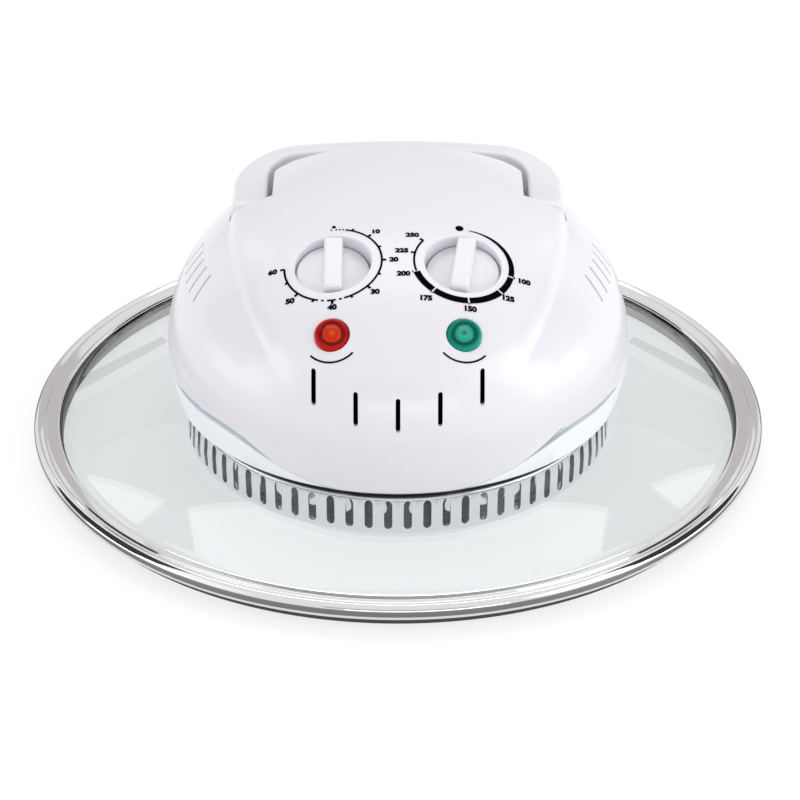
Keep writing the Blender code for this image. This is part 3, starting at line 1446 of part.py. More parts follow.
def make_thermostat(carrier):
    top = body_top()
    neck_top = top + CONTROL_NECK
    bottom = top - THERMOSTAT_BODY_DEPTH
    bore = SHAFT_RADIUS + GAP
    bore_end = top - SHAFT_IN_BODY - GAP
    profile = [(0.0, bore_end), (bore, bore_end), (bore, neck_top), (CONTROL_NECK_RADIUS, neck_top),
               (CONTROL_NECK_RADIUS, top), (THERMOSTAT_BODY_RADIUS, top), (THERMOSTAT_BODY_RADIUS, bottom),
               (0.0, bottom)]
    return carried(turned("thermostat_body", profile, SMALL_STEPS, CERAMIC), carrier)


def thermostat_foot():
    """World point at the middle of the thermostat body's underside."""
    drop = body_top() - THERMOSTAT_BODY_DEPTH
    return knob_centre(1) + Vector((0.0, -math.sin(KNOB_TILT), math.cos(KNOB_TILT))) * drop


def make_bulb():
    """The thermostat's sensing bulb in the drum, and the fine tube that joins them."""
    top = HEAD_BASE + BASE_FLOOR + BULB_RISE
    spot = on_circle(BULB_CIRCLE, BULB_ANGLE)
    bulb = turned("thermostat_bulb", rod_profile(BULB_RADIUS, BULB_BOTTOM, top), TINY_STEPS, BRASS)
    place(bulb, spot)
    start = Vector((spot.x, spot.y, top + GAP))
    foot = thermostat_foot()
    end = foot + Vector((0.0, -math.sin(KNOB_TILT), math.cos(KNOB_TILT))) * -GAP
    rise = Vector((0.0, 0.0, (end.z - start.z) / 2))
    fall = Vector((0.0, math.sin(KNOB_TILT), -math.cos(KNOB_TILT))) * rise.z
    points = []
    for step in range(CAPILLARY_STEPS + 1):
        t = step / CAPILLARY_STEPS
        points.append((1 - t) ** 3 * start + 3 * (1 - t) ** 2 * t * (start + rise)
                      + 3 * (1 - t) * t * t * (end + fall) + t ** 3 * end)
    tube("capillary_tube", points, CAPILLARY_RADIUS, BRASS, CAPILLARY_ROUND_STEPS)


def make_lamp(colour, side, material):
    """A domed lens pushed into the console, with its lamp behind it."""
    centre = lamp_centre(side)
    seat = -LENS_SEAT + GAP
    rim = seat + LENS_RIM
    crown = [(LENS_RADIUS * across, rim + LENS_DOME * up) for across, up in LENS_CROWN_SHARES]
    profile = [(0.0, rim + LENS_DOME), *crown, (LENS_RADIUS, rim), (LENS_RADIUS, seat),
               (LENS_STEM_RADIUS, seat), (LENS_STEM_RADIUS, seat - LENS_STEM), (0.0, seat - LENS_STEM)]
    lens = turned(f"{colour}_lens", profile, SMALL_STEPS, material)
    place(lens, centre, LAMP_TILT)
    top = seat - LENS_STEM - GAP
    lamp = turned(f"{colour}_lamp", rod_profile(LAMP_BODY_RADIUS, top - LAMP_BODY_LENGTH, top), SMALL_STEPS,
                  CERAMIC)
    place(lamp, centre, LAMP_TILT)


# Switch, wiring fittings and screws

def make_switch():
    top = channel_underside() - GAP
    low = (SWITCH_X - SWITCH_WIDTH / 2, SWITCH_Y - SWITCH_LENGTH / 2, top - SWITCH_HEIGHT)
    high = (SWITCH_X + SWITCH_WIDTH / 2, SWITCH_Y + SWITCH_LENGTH / 2, top)
    switch = block("safety_switch", low, high, BLACK, KNOB_EDGE)
    bottom = top - PLUNGER_IN_SWITCH
    bore = turned("switch_bore", rod_profile(PLUNGER_RADIUS + GAP, bottom - GAP, top + OVERRUN), SMALL_STEPS)
    cut(switch, place(bore, (SWITCH_X, SWITCH_Y, 0.0)))
    plunger = turned("switch_plunger", rod_profile(PLUNGER_RADIUS, bottom, plunger_top()), SMALL_STEPS, RED)
    place(plunger, (SWITCH_X, SWITCH_Y, 0.0))


def make_fittings():
    floor = plate_bottom() + PLATE_SHEET + GAP
    x, y = TERMINAL_PLACE
    width, length, height = TERMINAL_SIZE
    block("terminal_block", (x - width / 2, y - length / 2, floor), (x + width / 2, y + length / 2, floor + height),
          CERAMIC, KNOB_EDGE)
    cutout = turned("thermal_cutout", rod_profile(CUTOUT_RADIUS, floor, floor + CUTOUT_HEIGHT), SMALL_STEPS,
                    BRIGHT_STEEL)
    place(cutout, (*CUTOUT_PLACE, 0.0))


def screw_profile(radius, head_radius, head_low, head_high, tip):
    return [(0.0, tip), (radius, tip), (radius, head_high), (head_radius, head_high),
            (head_radius, head_low), (0.0, head_low)]


def make_screws():
    head_high = reflector_top() - REFLECTOR_SHEET - GAP
    head_low = head_high - CLAMP_HEAD
    tip = HEAD_BASE + BASE_BOSS_HEIGHT
    for number, angle in enumerate(clamp_angles(), start=1):
        screw = turned(f"clamp_screw_{number}", screw_profile(CLAMP_RADIUS, CLAMP_HEAD_RADIUS, head_low,
                                                              head_high, tip), TINY_STEPS, PLATED_STEEL)
        place(screw, on_circle(CLAMP_CIRCLE, angle))
    head_high = HEAD_BASE - GAP
    head_low = head_high - SHELL_SCREW_HEAD
    for number, angle in enumerate(boss_angles(), start=1):
        screw = turned(f"shell_screw_{number}", screw_profile(SHELL_SCREW_RADIUS, SHELL_SCREW_HEAD_RADIUS,
                                                              head_low, head_high,
                                                              head_high + SHELL_SCREW_LENGTH),
                       TINY_STEPS, PLATED_STEEL)
        place(screw, on_circle(BOSS_CIRCLE, angle))


def make_controls():
    timer_axis = empty_at("timer_axis", knob_centre(-1), KNOB_TILT)
    thermostat_axis = empty_at("thermostat_axis", knob_centre(1), KNOB_TILT)
    make_knob("timer_knob", timer_axis, 0.0)
    make_shaft("timer_shaft", timer_axis)
    make_timer(timer_axis)
    make_knob("thermostat_knob", thermostat_axis, THERMOSTAT_REST)
    make_shaft("thermostat_shaft", thermostat_axis)
    make_thermostat(thermostat_axis)
    make_bulb()
    make_lamp("red", -1, RED)
    make_lamp("green", 1, GREEN)


def make_lid():
    make_rim_band()
    make_rim_seal()
    make_lid_glass()
    make_gaskets()


def make_drum_group():
    make_drum()
    make_screen()
    make_reflector()
    make_insulation()
    make_steel_plate()
    make_guard()
    make_heater()
    make_tube_clips()


def make_motor_group():
    make_motor_shaft()
    make_motor()
    make_bearings()
    make_posts()
    make_fans()


def make_head():
    make_base_ring()
    make_upper_shell()
    make_handle()
    make_pins()
    make_controls()
    make_switch()
    make_fittings()
    make_grommet()
    make_screws()


make_lid()
make_drum_group()
make_motor_group()
make_head()
bpy.context.view_layer.update()
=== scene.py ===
# %% [markdown]
# # Lid unit of a halogen oven
#
# The real object is a lift-off lid: a white moulded head on a glass ring with a steel rim, and
# a slotted steel drum with the heater below the glass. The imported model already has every
# solid at its true size. This scene keeps those solids as the frame, and dresses them: what
# shows from outside is modelled again more finely on the same sizes, and all the rest gets
# its finish. Everything is in metres, and the origin is the centre of the seal's underside.

import contextlib
import json
import math

import bpy
from mathutils import Matrix, Vector


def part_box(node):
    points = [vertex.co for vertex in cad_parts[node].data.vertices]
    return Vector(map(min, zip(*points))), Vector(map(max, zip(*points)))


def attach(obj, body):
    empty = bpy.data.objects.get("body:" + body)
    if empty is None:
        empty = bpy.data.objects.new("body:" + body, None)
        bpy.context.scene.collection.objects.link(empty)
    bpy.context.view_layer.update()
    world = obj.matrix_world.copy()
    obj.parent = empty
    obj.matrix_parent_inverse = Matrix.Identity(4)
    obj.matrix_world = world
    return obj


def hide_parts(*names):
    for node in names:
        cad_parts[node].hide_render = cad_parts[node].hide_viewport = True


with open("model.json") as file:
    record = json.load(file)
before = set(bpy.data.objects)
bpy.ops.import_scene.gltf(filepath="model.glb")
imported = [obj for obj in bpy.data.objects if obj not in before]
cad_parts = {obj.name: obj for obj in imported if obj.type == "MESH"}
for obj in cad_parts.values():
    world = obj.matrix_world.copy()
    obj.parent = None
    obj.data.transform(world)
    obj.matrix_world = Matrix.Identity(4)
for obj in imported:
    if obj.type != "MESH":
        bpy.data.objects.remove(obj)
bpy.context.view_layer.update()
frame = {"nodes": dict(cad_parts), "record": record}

# %% [markdown]
# ## Camera
#
# The picture was taken from in front and about 30 degrees above, with a long lens. The view
# comes from the size of the rim's ellipse: its width gives the scale, and its height against
# its width gives the angle. A small shift puts the lid at the same place in the square frame.

# %% Camera
CAMERA_DISTANCE = 1.2
CAMERA_ELEVATION = math.radians(30.4)
CAMERA_TARGET = Vector((0.0, 0.0, 0.0055))
CAMERA_LENS_MM = 114.5
CAMERA_SHIFT = (0.0025, 0.0194)

camera_data = bpy.data.cameras.new("camera")
camera_data.lens = CAMERA_LENS_MM
camera_data.shift_x, camera_data.shift_y = CAMERA_SHIFT
camera = bpy.data.objects.new("camera", camera_data)
bpy.context.scene.collection.objects.link(camera)
backwards = Vector((0.0, -math.cos(CAMERA_ELEVATION), math.sin(CAMERA_ELEVATION)))
camera.location = CAMERA_TARGET + backwards * CAMERA_DISTANCE
camera.rotation_euler = (math.pi / 2 - CAMERA_ELEVATION, 0.0, 0.0)
bpy.context.scene.camera = camera
bpy.context.scene.view_settings.view_transform = "Standard"
print("camera at", [round(value, 3) for value in camera.location])

# %% [markdown]
# ## Working by hand in code
#
# An operator acts on whatever is selected, and loading leaves every solid selected. So each
# step starts from one object alone. These few helpers are the hand movements that all pieces
# share: add or take one object, join several, work on all its points in edit mode, apply one
# modifier, merge and turn the faces outwards.

# %% Hand movements
MERGE_DISTANCE = 0.000005
MILLIMETRES = 1000
SMOOTH_ANGLE = math.radians(32)
SOFT_ANGLE = math.radians(50)


def take(obj):
    """Select one object alone and make it the active one."""
    bpy.ops.object.select_all(action="DESELECT")
    obj.select_set(True)
    bpy.context.view_layer.objects.active = obj
    return obj


def added(name, add, **settings):
    """Add an object by its operator, with nothing else selected, and name it."""
    bpy.ops.object.select_all(action="DESELECT")
    add(**settings)
    bpy.context.object.name = name
    return bpy.context.object


def joined(pieces):
    """Join several objects into the first of them."""
    take(pieces[0])
    for piece in pieces:
        piece.select_set(True)
    bpy.ops.object.join()
    return pieces[0]


@contextlib.contextmanager
def editing(obj):
    """Open an object in edit mode with all its points selected, and close it afterwards."""
    take(obj)
    bpy.ops.object.mode_set(mode="EDIT")
    bpy.ops.mesh.select_all(action="SELECT")
    yield
    bpy.ops.object.mode_set(mode="OBJECT")


def apply_step(obj, kind, **settings):
    """Add one modifier to an object and apply it."""
    take(obj)
    step = obj.modifiers.new(kind.lower(), kind)
    for key, value in settings.items():
        setattr(step, key, value)
    bpy.ops.object.modifier_apply(modifier=step.name)
    return obj


def carve(obj, cutter, operation="DIFFERENCE"):
    """Cut another object out, or join it, which uses it up."""
    apply_step(obj, "BOOLEAN", operation=operation, solver="MANIFOLD", object=cutter)
    bpy.data.objects.remove(cutter, do_unlink=True)
    return obj


def close_up(obj, fill=True):
    """Merge doubled points, close what is open and turn the faces outwards."""
    with editing(obj):
        bpy.ops.mesh.remove_doubles(threshold=MERGE_DISTANCE)
        if fill:
            bpy.ops.mesh.fill_holes(sides=0)
        bpy.ops.mesh.normals_make_consistent(inside=False)
    return obj


def settle(obj):
    """Put an object's place into its mesh, so that it sits at the origin, unturned."""
    obj.data.transform(obj.matrix_world)
    obj.matrix_world = Matrix.Identity(4)
    return obj


def smooth(obj, angle=SMOOTH_ANGLE):
    take(obj)
    bpy.ops.object.shade_smooth_by_angle(angle=angle)
    return obj


print("helpers ready, merging points closer than", MERGE_DISTANCE, "m")

# %% [markdown]
# ## Three ways to a form
#
# Nearly all of this object is either turned about an axis or drawn out along a path. A turned
# piece starts as a chain of points, extruded one after another, which a spin carries round.
# Corners of such a chain are rounded first, because no real edge is sharp. A drawn or domed
# piece starts as a flat grid, and each of its points is carried to its place on the form. A
# flat outline that is raised to a thickness makes the cutters for slots.

# %% Turned pieces
CORNER_STEPS = 4


def rounded(corners):
    """Points of an outline whose corners (r, z, round) are rounded by arcs."""
    points = []
    count = len(corners)
    for index, (r, z, size) in enumerate(corners):
        here = Vector((r, z))
        if size <= 0.0:
            points.append((r, z))
            continue
        before = Vector(corners[index - 1][:2]) - here
        after = Vector(corners[(index + 1) % count][:2]) - here
        half = before.angle(after) / 2
        reach = min(size / math.tan(half), before.length / 2, after.length / 2)
        start = here + before.normalized() * reach
        end = here + after.normalized() * reach
        centre = here + (before.normalized() + after.normalized()).normalized() * reach / math.cos(half)
        first, last = start - centre, end - centre
        sweep = first.angle_signed(last)
        for step in range(CORNER_STEPS + 1):
            turn = -sweep * step / CORNER_STEPS
            point = centre + Matrix.Rotation(turn, 2) @ first
            points.append((point.x, point.y))
    return points


def chain(name, points):
    """Draw a chain of points, each extruded from the one before."""
    obj = added(name, bpy.ops.mesh.primitive_plane_add, size=MERGE_DISTANCE, location=points[0])
    with editing(obj):
        bpy.ops.mesh.merge(type="CENTER")
        for before, after in zip(points, points[1:]):
            step = Vector(after) - Vector(before)
            bpy.ops.mesh.extrude_region_move(TRANSFORM_OT_translate={"value": step})
    return settle(obj)


def turned(name, outline, steps, closed=True):
    """Spin a closed (r, z) outline about Z, or an open one whose ends lie on the axis."""
    points = [(r, 0.0, z) for r, z in outline]
    if closed:
        points.append(points[0])
    obj = chain(name, points)
    with editing(obj):
        bpy.ops.mesh.spin(steps=steps, angle=math.tau, center=(0.0, 0.0, 0.0), axis=(0.0, 0.0, 1.0))
    return close_up(obj, fill=False)


def rod(name, radius, top, low, steps):
    """A plain round rod on the Z axis."""
    return turned(name, [(0.0, top), (radius, top), (radius, low), (0.0, low)], steps, closed=False)


print("corners rounded in", CORNER_STEPS, "steps")

# %% Drawn and domed pieces
GRID_MIDDLE = 0.5


def wrapped(name, across, along, place, fill=True):
    """Lay out a flat grid and carry each point (u, v), both from 0 to 1, to its place."""
    obj = added(name, bpy.ops.mesh.primitive_grid_add, x_subdivisions=across, y_subdivisions=along, size=1.0)
    for vertex in obj.data.vertices:
        vertex.co = place(vertex.co.x + GRID_MIDDLE, vertex.co.y + GRID_MIDDLE)
    return close_up(obj, fill)


print("a grid's points run from 0 to", 2 * GRID_MIDDLE)

# %% Raised outlines
SLOT_END_STEPS = 6


def raised(name, outline, depth, matrix=Matrix.Identity(4)):
    """A flat outline raised to a depth, centred on its plane, and put in place by a matrix."""
    obj = chain(name, [(x, y, -depth / 2) for x, y in outline + outline[:1]])
    with editing(obj):
        bpy.ops.mesh.remove_doubles(threshold=MERGE_DISTANCE)
        bpy.ops.mesh.edge_face_add()
        bpy.ops.mesh.extrude_region_move(TRANSFORM_OT_translate={"value": (0.0, 0.0, depth)})
        bpy.ops.mesh.select_all(action="SELECT")
        bpy.ops.mesh.normals_make_consistent(inside=False)
    obj.data.transform(matrix)
    return obj


def slot_outline(width, length, end_steps=SLOT_END_STEPS):
    """A slot with round ends, its length along y."""
    reach = (length - width) / 2
    points = []
    for side in (1, -1):
        for step in range(end_steps + 1):
            turn = math.pi * step / end_steps
            points.append((side * math.cos(turn) * width / 2, side * (reach + math.sin(turn) * width / 2)))
    return points


def block(name, low, high):
    """A cube stretched between two corners."""
    obj = added(name, bpy.ops.mesh.primitive_cube_add, size=1.0)
    obj.data.transform(Matrix.Translation((low + high) / 2) @ Matrix.Diagonal((*(high - low), 1.0)))
    return obj


def copies(obj, matrices):
    """Copy one object to several places, each copy with its own mesh, and join them."""
    made = []
    for matrix in matrices:
        twin = obj.copy()
        twin.data = obj.data.copy()
        twin.data.transform(matrix)
        bpy.context.scene.collection.objects.link(twin)
        made.append(twin)
    bpy.data.objects.remove(obj, do_unlink=True)
    return joined(made)


def axes_at(place, across, along):
    """A matrix with local x across, local y along, and local z square to both."""
    x_axis = Vector(across).normalized()
    z_axis = x_axis.cross(Vector(along)).normalized()
    y_axis = z_axis.cross(x_axis)
    matrix = Matrix((x_axis, y_axis, z_axis)).transposed().to_4x4()
    matrix.translation = Vector(place)
    return matrix


def around(angle, height=0.0, radius=1.0):
    return Vector((radius * math.cos(angle), radius * math.sin(angle), height))


print("forms: turned, wrapped and raised")

# %% [markdown]
# ## Shared surface effects
#
# Real plastic and metal are never perfectly even. Two effects come back on nearly every piece,
# so each is a node group that is built once: uneven gloss, from slow noise, and a fine relief
# whose height feeds a bump node. A third one draws the rings that a lathe or a spinning tool
# leaves in turned metal, and reads the distance from the axis. Groups put out plain values, and
# the shader itself stays in each material. One helper places a node, sets its values and plugs
# in what feeds it, so that each effect reads as a short chain.

# %% Placing nodes
NOISE_DETAIL, RELIEF_DETAIL = 3.0, 2.0


def placed(tree, kind, feeds, **settings):
    """Add a node. A feed that is a socket is linked, and any other is that input's value."""
    made = tree.nodes.new("ShaderNode" + kind)
    for key, value in settings.items():
        setattr(made, key, value)
    fill_in(tree, made, feeds)
    return made


def fill_in(tree, made, feeds):
    for socket, feed in feeds.items():
        if isinstance(feed, bpy.types.NodeSocket):
            tree.links.new(feed, made.inputs[socket])
        else:
            made.inputs[socket].default_value = feed


def on_piece(tree):
    """The piece's own coordinates."""
    return placed(tree, "TexCoord", {}).outputs["Object"]


def noise_at(tree, place, scale, detail):
    return placed(tree, "TexNoise", {"Vector": place, "Scale": scale, "Detail": detail}).outputs["Fac"]


def worked_out(tree, operation, *feeds):
    """A sum, product or other plain step on one to three numbers."""
    return placed(tree, "Math", dict(enumerate(feeds)), operation=operation).outputs["Value"]


print("helpers for nodes ready")

# %% Node groups
def new_group(name, inputs, outputs):
    """An empty node group with named number sockets."""
    group = bpy.data.node_groups.new(name, "ShaderNodeTree")
    for socket, value in inputs.items():
        made = group.interface.new_socket(name=socket, in_out="INPUT", socket_type="NodeSocketFloat")
        made.default_value = value
    for socket in outputs:
        group.interface.new_socket(name=socket, in_out="OUTPUT", socket_type="NodeSocketFloat")
    entry = group.nodes.new("NodeGroupInput")
    leave = group.nodes.new("NodeGroupOutput")
    return group, entry.outputs, leave.inputs


def make_uneven_gloss():
    group, given, out = new_group("uneven_gloss", {"Scale": 40.0, "Low": 0.2, "High": 0.3}, ("Roughness",))
    noise = noise_at(group, on_piece(group), given["Scale"], NOISE_DETAIL)
    spread = placed(group, "MapRange", {"Value": noise, "To Min": given["Low"], "To Max": given["High"]})
    group.links.new(spread.outputs["Result"], out["Roughness"])
    return group


def make_fine_relief():
    group, given, out = new_group("fine_relief", {"Scale": 900.0, "Height": 1.0}, ("Height",))
    noise = noise_at(group, on_piece(group), given["Scale"], RELIEF_DETAIL)
    group.links.new(worked_out(group, "MULTIPLY", noise, given["Height"]), out["Height"])
    return group


def make_tool_rings():
    """Fine uneven rings about the Z axis: noise over the distance from it and the height."""
    group, given, out = new_group("tool_rings", {"Scale": 3000.0, "Height": 1.0}, ("Height",))
    parts = placed(group, "SeparateXYZ", {"Vector": on_piece(group)}).outputs
    plan = placed(group, "CombineXYZ", {"X": parts["X"], "Y": parts["Y"]}).outputs["Vector"]
    reach = placed(group, "VectorMath", {0: plan}, operation="LENGTH").outputs["Value"]
    ring = placed(group, "CombineXYZ", {"X": reach, "Y": parts["Z"]}).outputs["Vector"]
    noise = noise_at(group, ring, given["Scale"], RELIEF_DETAIL)
    group.links.new(worked_out(group, "MULTIPLY", noise, given["Height"]), out["Height"])
    return group


UNEVEN_GLOSS = make_uneven_gloss()
FINE_RELIEF = make_fine_relief()
TOOL_RINGS = make_tool_rings()
print("groups:", UNEVEN_GLOSS.name, FINE_RELIEF.name, TOOL_RINGS.name)

# %% [markdown]
# ## Finishes
#
# Each finish is one Principled material: plain values on its own sockets, with the shared
# effects plugged in where the real surface varies. Gloss plastic gets a slight orange peel
# from its mould, turned metal gets tool rings, and all the rest but glass, lenses and ink gets
# a finer grain. Ceramic, fibre and plated steel are a little blotchy too. The names are the
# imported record's material slots, apart from ink, the look of the printed marks.

# %% Making a finish
FINISHES = {}
TONE_SCALE, TONE_DETAIL = 55.0, 4.0
TONE_STOPS = (0.35, 0.7)
RAMP_MIDDLE = 0.5
STANDARD_SHADER = "Principled BSDF"


def new_look(name):
    """A material with its tree and its standard shader."""
    material = bpy.data.materials.new(name)
    material.use_nodes = True
    tree = material.node_tree
    return material, tree, tree.nodes[STANDARD_SHADER]


def colour_ramp(tree, value, stops):
    """A colour for each (place, colour) stop, softly blended between them."""
    ramp = placed(tree, "ValToRGB", {"Fac": value})
    elements = ramp.color_ramp.elements
    while len(elements) < len(stops):
        elements.new(RAMP_MIDDLE)
    for element, (place, colour) in zip(elements, stops):
        element.position = place
        element.color = (*colour, 1.0)
    return ramp.outputs["Color"]


def finish(name, colour, gloss, metallic=0.0, relief=None, bump=0.0, rings=None, tone=None, **sockets):
    """A Principled material. gloss is (low, high) roughness, relief and rings are scales,
    bump a depth in metres, and tone a second colour that blotches the first."""
    material, tree, shader = new_look(name)
    fill_in(tree, shader, {"Base Color": (*colour, 1.0), "Metallic": metallic})
    fill_in(tree, shader, {socket.replace("_", " "): value for socket, value in sockets.items()})
    uneven = placed(tree, "Group", {}, node_tree=UNEVEN_GLOSS)
    fill_in(tree, uneven, {"Low": gloss[0], "High": gloss[1]})
    feeds = {"Roughness": uneven.outputs["Roughness"]}
    if tone:
        blotches = noise_at(tree, on_piece(tree), TONE_SCALE, TONE_DETAIL)
        feeds["Base Color"] = colour_ramp(tree, blotches, list(zip(TONE_STOPS, (colour, tone))))
    if relief or rings:
        effect = placed(tree, "Group", {}, node_tree=FINE_RELIEF if relief else TOOL_RINGS)
        effect.inputs["Scale"].default_value = relief or rings
        relief_node = placed(tree, "Bump", {"Distance": bump, "Height": effect.outputs["Height"]})
        feeds["Normal"] = relief_node.outputs["Normal"]
    fill_in(tree, shader, feeds)
    material.diffuse_color = (*colour, 1.0)
    FINISHES[name] = material
    return material


print("finishes can be made")

# %% Plastics, soft pieces and glass
finish("white_plastic", (0.80, 0.79, 0.835), (0.20, 0.30), relief=260.0, bump=0.00002, Coat_Weight=0.15)
finish("base_plastic", (0.90, 0.955, 0.985), (0.18, 0.27), relief=260.0, bump=0.00002, Coat_Weight=0.1)
finish("knob_plastic", (0.82, 0.82, 0.85), (0.22, 0.32), relief=420.0, bump=0.00002)
finish("black_plastic", (0.010, 0.010, 0.012), (0.45, 0.6), relief=1500.0, bump=0.00004,
       Specular_IOR_Level=0.2)
finish("ink", (0.003, 0.003, 0.004), (0.85, 0.95), Specular_IOR_Level=0.0)
finish("nylon_fan", (0.22, 0.24, 0.26), (0.42, 0.55), relief=900.0, bump=0.00003)
finish("grey_silicone", (0.035, 0.035, 0.04), (0.5, 0.65), relief=1800.0, bump=0.00003)
finish("white_ceramic", (0.80, 0.77, 0.70), (0.45, 0.6), relief=2200.0, bump=0.00005, tone=(0.74, 0.70, 0.62))
finish("insulation_fibre", (0.62, 0.58, 0.50), (0.85, 0.95), relief=1200.0, bump=0.0002,
       tone=(0.52, 0.48, 0.41))
# The glass's grey tint is partly its own faint tint and partly painted shade, for the shadow under the lid
# that it no longer casts.
finish("lid_glass", (0.745, 0.77, 0.78), (0.0, 0.012), Transmission_Weight=1.0, IOR=1.47)
finish("quartz_tube", (0.97, 0.96, 0.94), (0.02, 0.06), Transmission_Weight=1.0, IOR=1.45)
print("finishes but for the metals:", len(FINISHES))

# %% Metals
finish("bright_steel", (0.74, 0.73, 0.72), (0.04, 0.09), metallic=1.0, rings=2600.0, bump=0.000004)
finish("drum_steel", (0.90, 0.90, 0.92), (0.10, 0.2), metallic=1.0, rings=3200.0, bump=0.000008)
# Plated steel is nearly black here: painted shade, so that the screen behind the drum's slots reads dark.
finish("plated_steel", (0.12, 0.12, 0.13), (0.26, 0.40), metallic=1.0, relief=1600.0, bump=0.00002,
       tone=(0.09, 0.09, 0.10))
finish("laminated_steel", (0.27, 0.28, 0.30), (0.4, 0.55), metallic=1.0, relief=2400.0, bump=0.00004)
finish("copper_winding", (0.50, 0.20, 0.09), (0.28, 0.4), metallic=1.0, relief=2800.0, bump=0.00015)
finish("brass", (0.70, 0.52, 0.24), (0.2, 0.32), metallic=1.0, rings=2600.0, bump=0.00001)
print("finishes so far:", len(FINISHES))

# %% [markdown]
# ### Lamp lenses
#
# Each lens is a coloured clear cap with a lamp behind it. Its colour paints the light through it:
# seen from above it has a painted dark ring of shade where the cap is thick, and a painted
# lighter middle where the lamp shows through. The green one has a dark spot in its middle. The
# colour follows the distance from the lens's own axis, which lies tilted in the console.

# %% Lens finishes
LENS_BAND = 0.0075
LENS_GLOSS, LENS_SHINE = (0.12, 0.2), 0.12


def lens_finish(name, stops, centre, tilt):
    """A gloss cap whose colour changes from its middle to its edge."""
    tree = finish(name, stops[-1][1], LENS_GLOSS, Specular_IOR_Level=LENS_SHINE).node_tree
    turn = (tilt, 0.0, 0.0)
    local = placed(tree, "Mapping", {"Vector": on_piece(tree), "Location": centre, "Rotation": turn},
                   vector_type="TEXTURE").outputs["Vector"]
    flat = placed(tree, "VectorMath", {0: local, 1: (1.0 / LENS_BAND, 1.0 / LENS_BAND, 0.0)},
                  operation="MULTIPLY").outputs["Vector"]
    reach = placed(tree, "VectorMath", {0: flat}, operation="LENGTH").outputs["Value"]
    fill_in(tree, tree.nodes[STANDARD_SHADER], {"Base Color": colour_ramp(tree, reach, stops)})


LAMP_TILT = math.radians(39.0)
LAMP_X = 0.0283
LAMP_PLACE_Y = -0.080
LAMP_PLACE_Z = 0.0922
# The stops paint light and shade through the cap: dark where it is thick, light where the lamp shows through.
RED_STOPS = [(0.0, (0.66, 0.09, 0.008)), (0.30, (0.52, 0.022, 0.003)), (0.48, (0.60, 0.035, 0.005)),
             (0.60, (0.13, 0.0, 0.0)), (0.74, (0.26, 0.001, 0.001)), (1.0, (0.60, 0.012, 0.005))]
GREEN_STOPS = [(0.0, (0.004, 0.10, 0.07)), (0.22, (0.05, 0.40, 0.29)), (0.46, (0.01, 0.34, 0.24)),
               (0.60, (0.0, 0.06, 0.045)), (0.74, (0.0, 0.14, 0.10)), (1.0, (0.005, 0.36, 0.25))]
lens_finish("red_lens", RED_STOPS, (-LAMP_X, LAMP_PLACE_Y, LAMP_PLACE_Z), LAMP_TILT)
lens_finish("green_lens", GREEN_STOPS, (LAMP_X, LAMP_PLACE_Y, LAMP_PLACE_Z), LAMP_TILT)
print("finishes:", sorted(FINISHES))

# %% [markdown]
# ## The finish of every imported solid
#
# The imported record says which material slot each node takes. Every node gets its finish here,
# also those that a finer piece stands for later and those hidden inside the head, because the
# head is looked into through its slots.

# %% Carried-over solids
for row in frame["record"]["subparts"]:
    solid = frame["nodes"][row["node"]]
    solid.data.materials.clear()
    solid.data.materials.append(FINISHES[row["material_slot"]])


def hand_over(obj, body, slot, *nodes, look=None):
    """Give a finished piece its finish and body, and let it stand for the nodes it replaces."""
    obj.data.materials.clear()
    obj.data.materials.append(FINISHES[look or slot])
    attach(obj, body)
    if nodes:
        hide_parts(*nodes)
    print(obj.name, "rides on", body, "with", len(obj.data.polygons), "faces")


# %% [markdown]
# ## Floor and light
#
# The lid was photographed before plain white, with soft light from the front right. The
# floor is a wide white sheet that curves up behind, a cyclorama. It glows a little, more in
# what the camera, the metal and the glass see of it than in the light that it throws, and it
# keeps the lid's shadow. Polished metal only looks like metal where it has something dark to
# mirror: the rim in the photo mirrors a dark band on each side of the front, thin dark lines
# at the sides, and the grey of the camera's place in the middle. Dark and grey cards stand
# there, which only mirrors see. Two narrow lamps and a wide one behind the lid are what the
# glass mirrors as pale shapes, and low lamps at the sides and in front reach under the head's
# overhang.

# %% Floor
FLOOR_HALF_WIDTH = 4.0
FLOOR_FRONT = -4.0
FLOOR_BEND_START = 2.2
FLOOR_BEND_RADIUS = 1.2
FLOOR_BACK_HEIGHT = 4.0
FLOOR_FLAT_SHARE, FLOOR_BENT_SHARE = 0.4, 0.8
FLOOR_GRID = (4, 40)
FLOOR_WHITE, FLOOR_ROUGHNESS = 0.9, 0.9
FLOOR_GLOW_SHARE = 0.68
FLOOR_BOUNCE_SHARE = 0.5
FLOOR_GLOW = 1.08


def floor_place(u, v):
    """A point of the sheet: flat, then a quarter bend, then upright."""
    x = (2.0 * u - 1.0) * FLOOR_HALF_WIDTH
    if v < FLOOR_FLAT_SHARE:
        return Vector((x, FLOOR_FRONT + (FLOOR_BEND_START - FLOOR_FRONT) * v / FLOOR_FLAT_SHARE, 0.0))
    if v < FLOOR_BENT_SHARE:
        turn = math.pi / 2 * (v - FLOOR_FLAT_SHARE) / (FLOOR_BENT_SHARE - FLOOR_FLAT_SHARE)
        return Vector((x, FLOOR_BEND_START + FLOOR_BEND_RADIUS * math.sin(turn),
                       FLOOR_BEND_RADIUS * (1.0 - math.cos(turn))))
    rise = (v - FLOOR_BENT_SHARE) / (1.0 - FLOOR_BENT_SHARE)
    return Vector((x, FLOOR_BEND_START + FLOOR_BEND_RADIUS,
                   FLOOR_BEND_RADIUS + (FLOOR_BACK_HEIGHT - FLOOR_BEND_RADIUS) * rise))


def seen_directly(tree):
    """One for what the camera, a mirror or a pane shows, zero for light that falls on things."""
    path = placed(tree, "LightPath", {}).outputs
    either = worked_out(tree, "MAXIMUM", path["Is Camera Ray"], path["Is Glossy Ray"])
    return worked_out(tree, "MAXIMUM", either, path["Is Transmission Ray"])


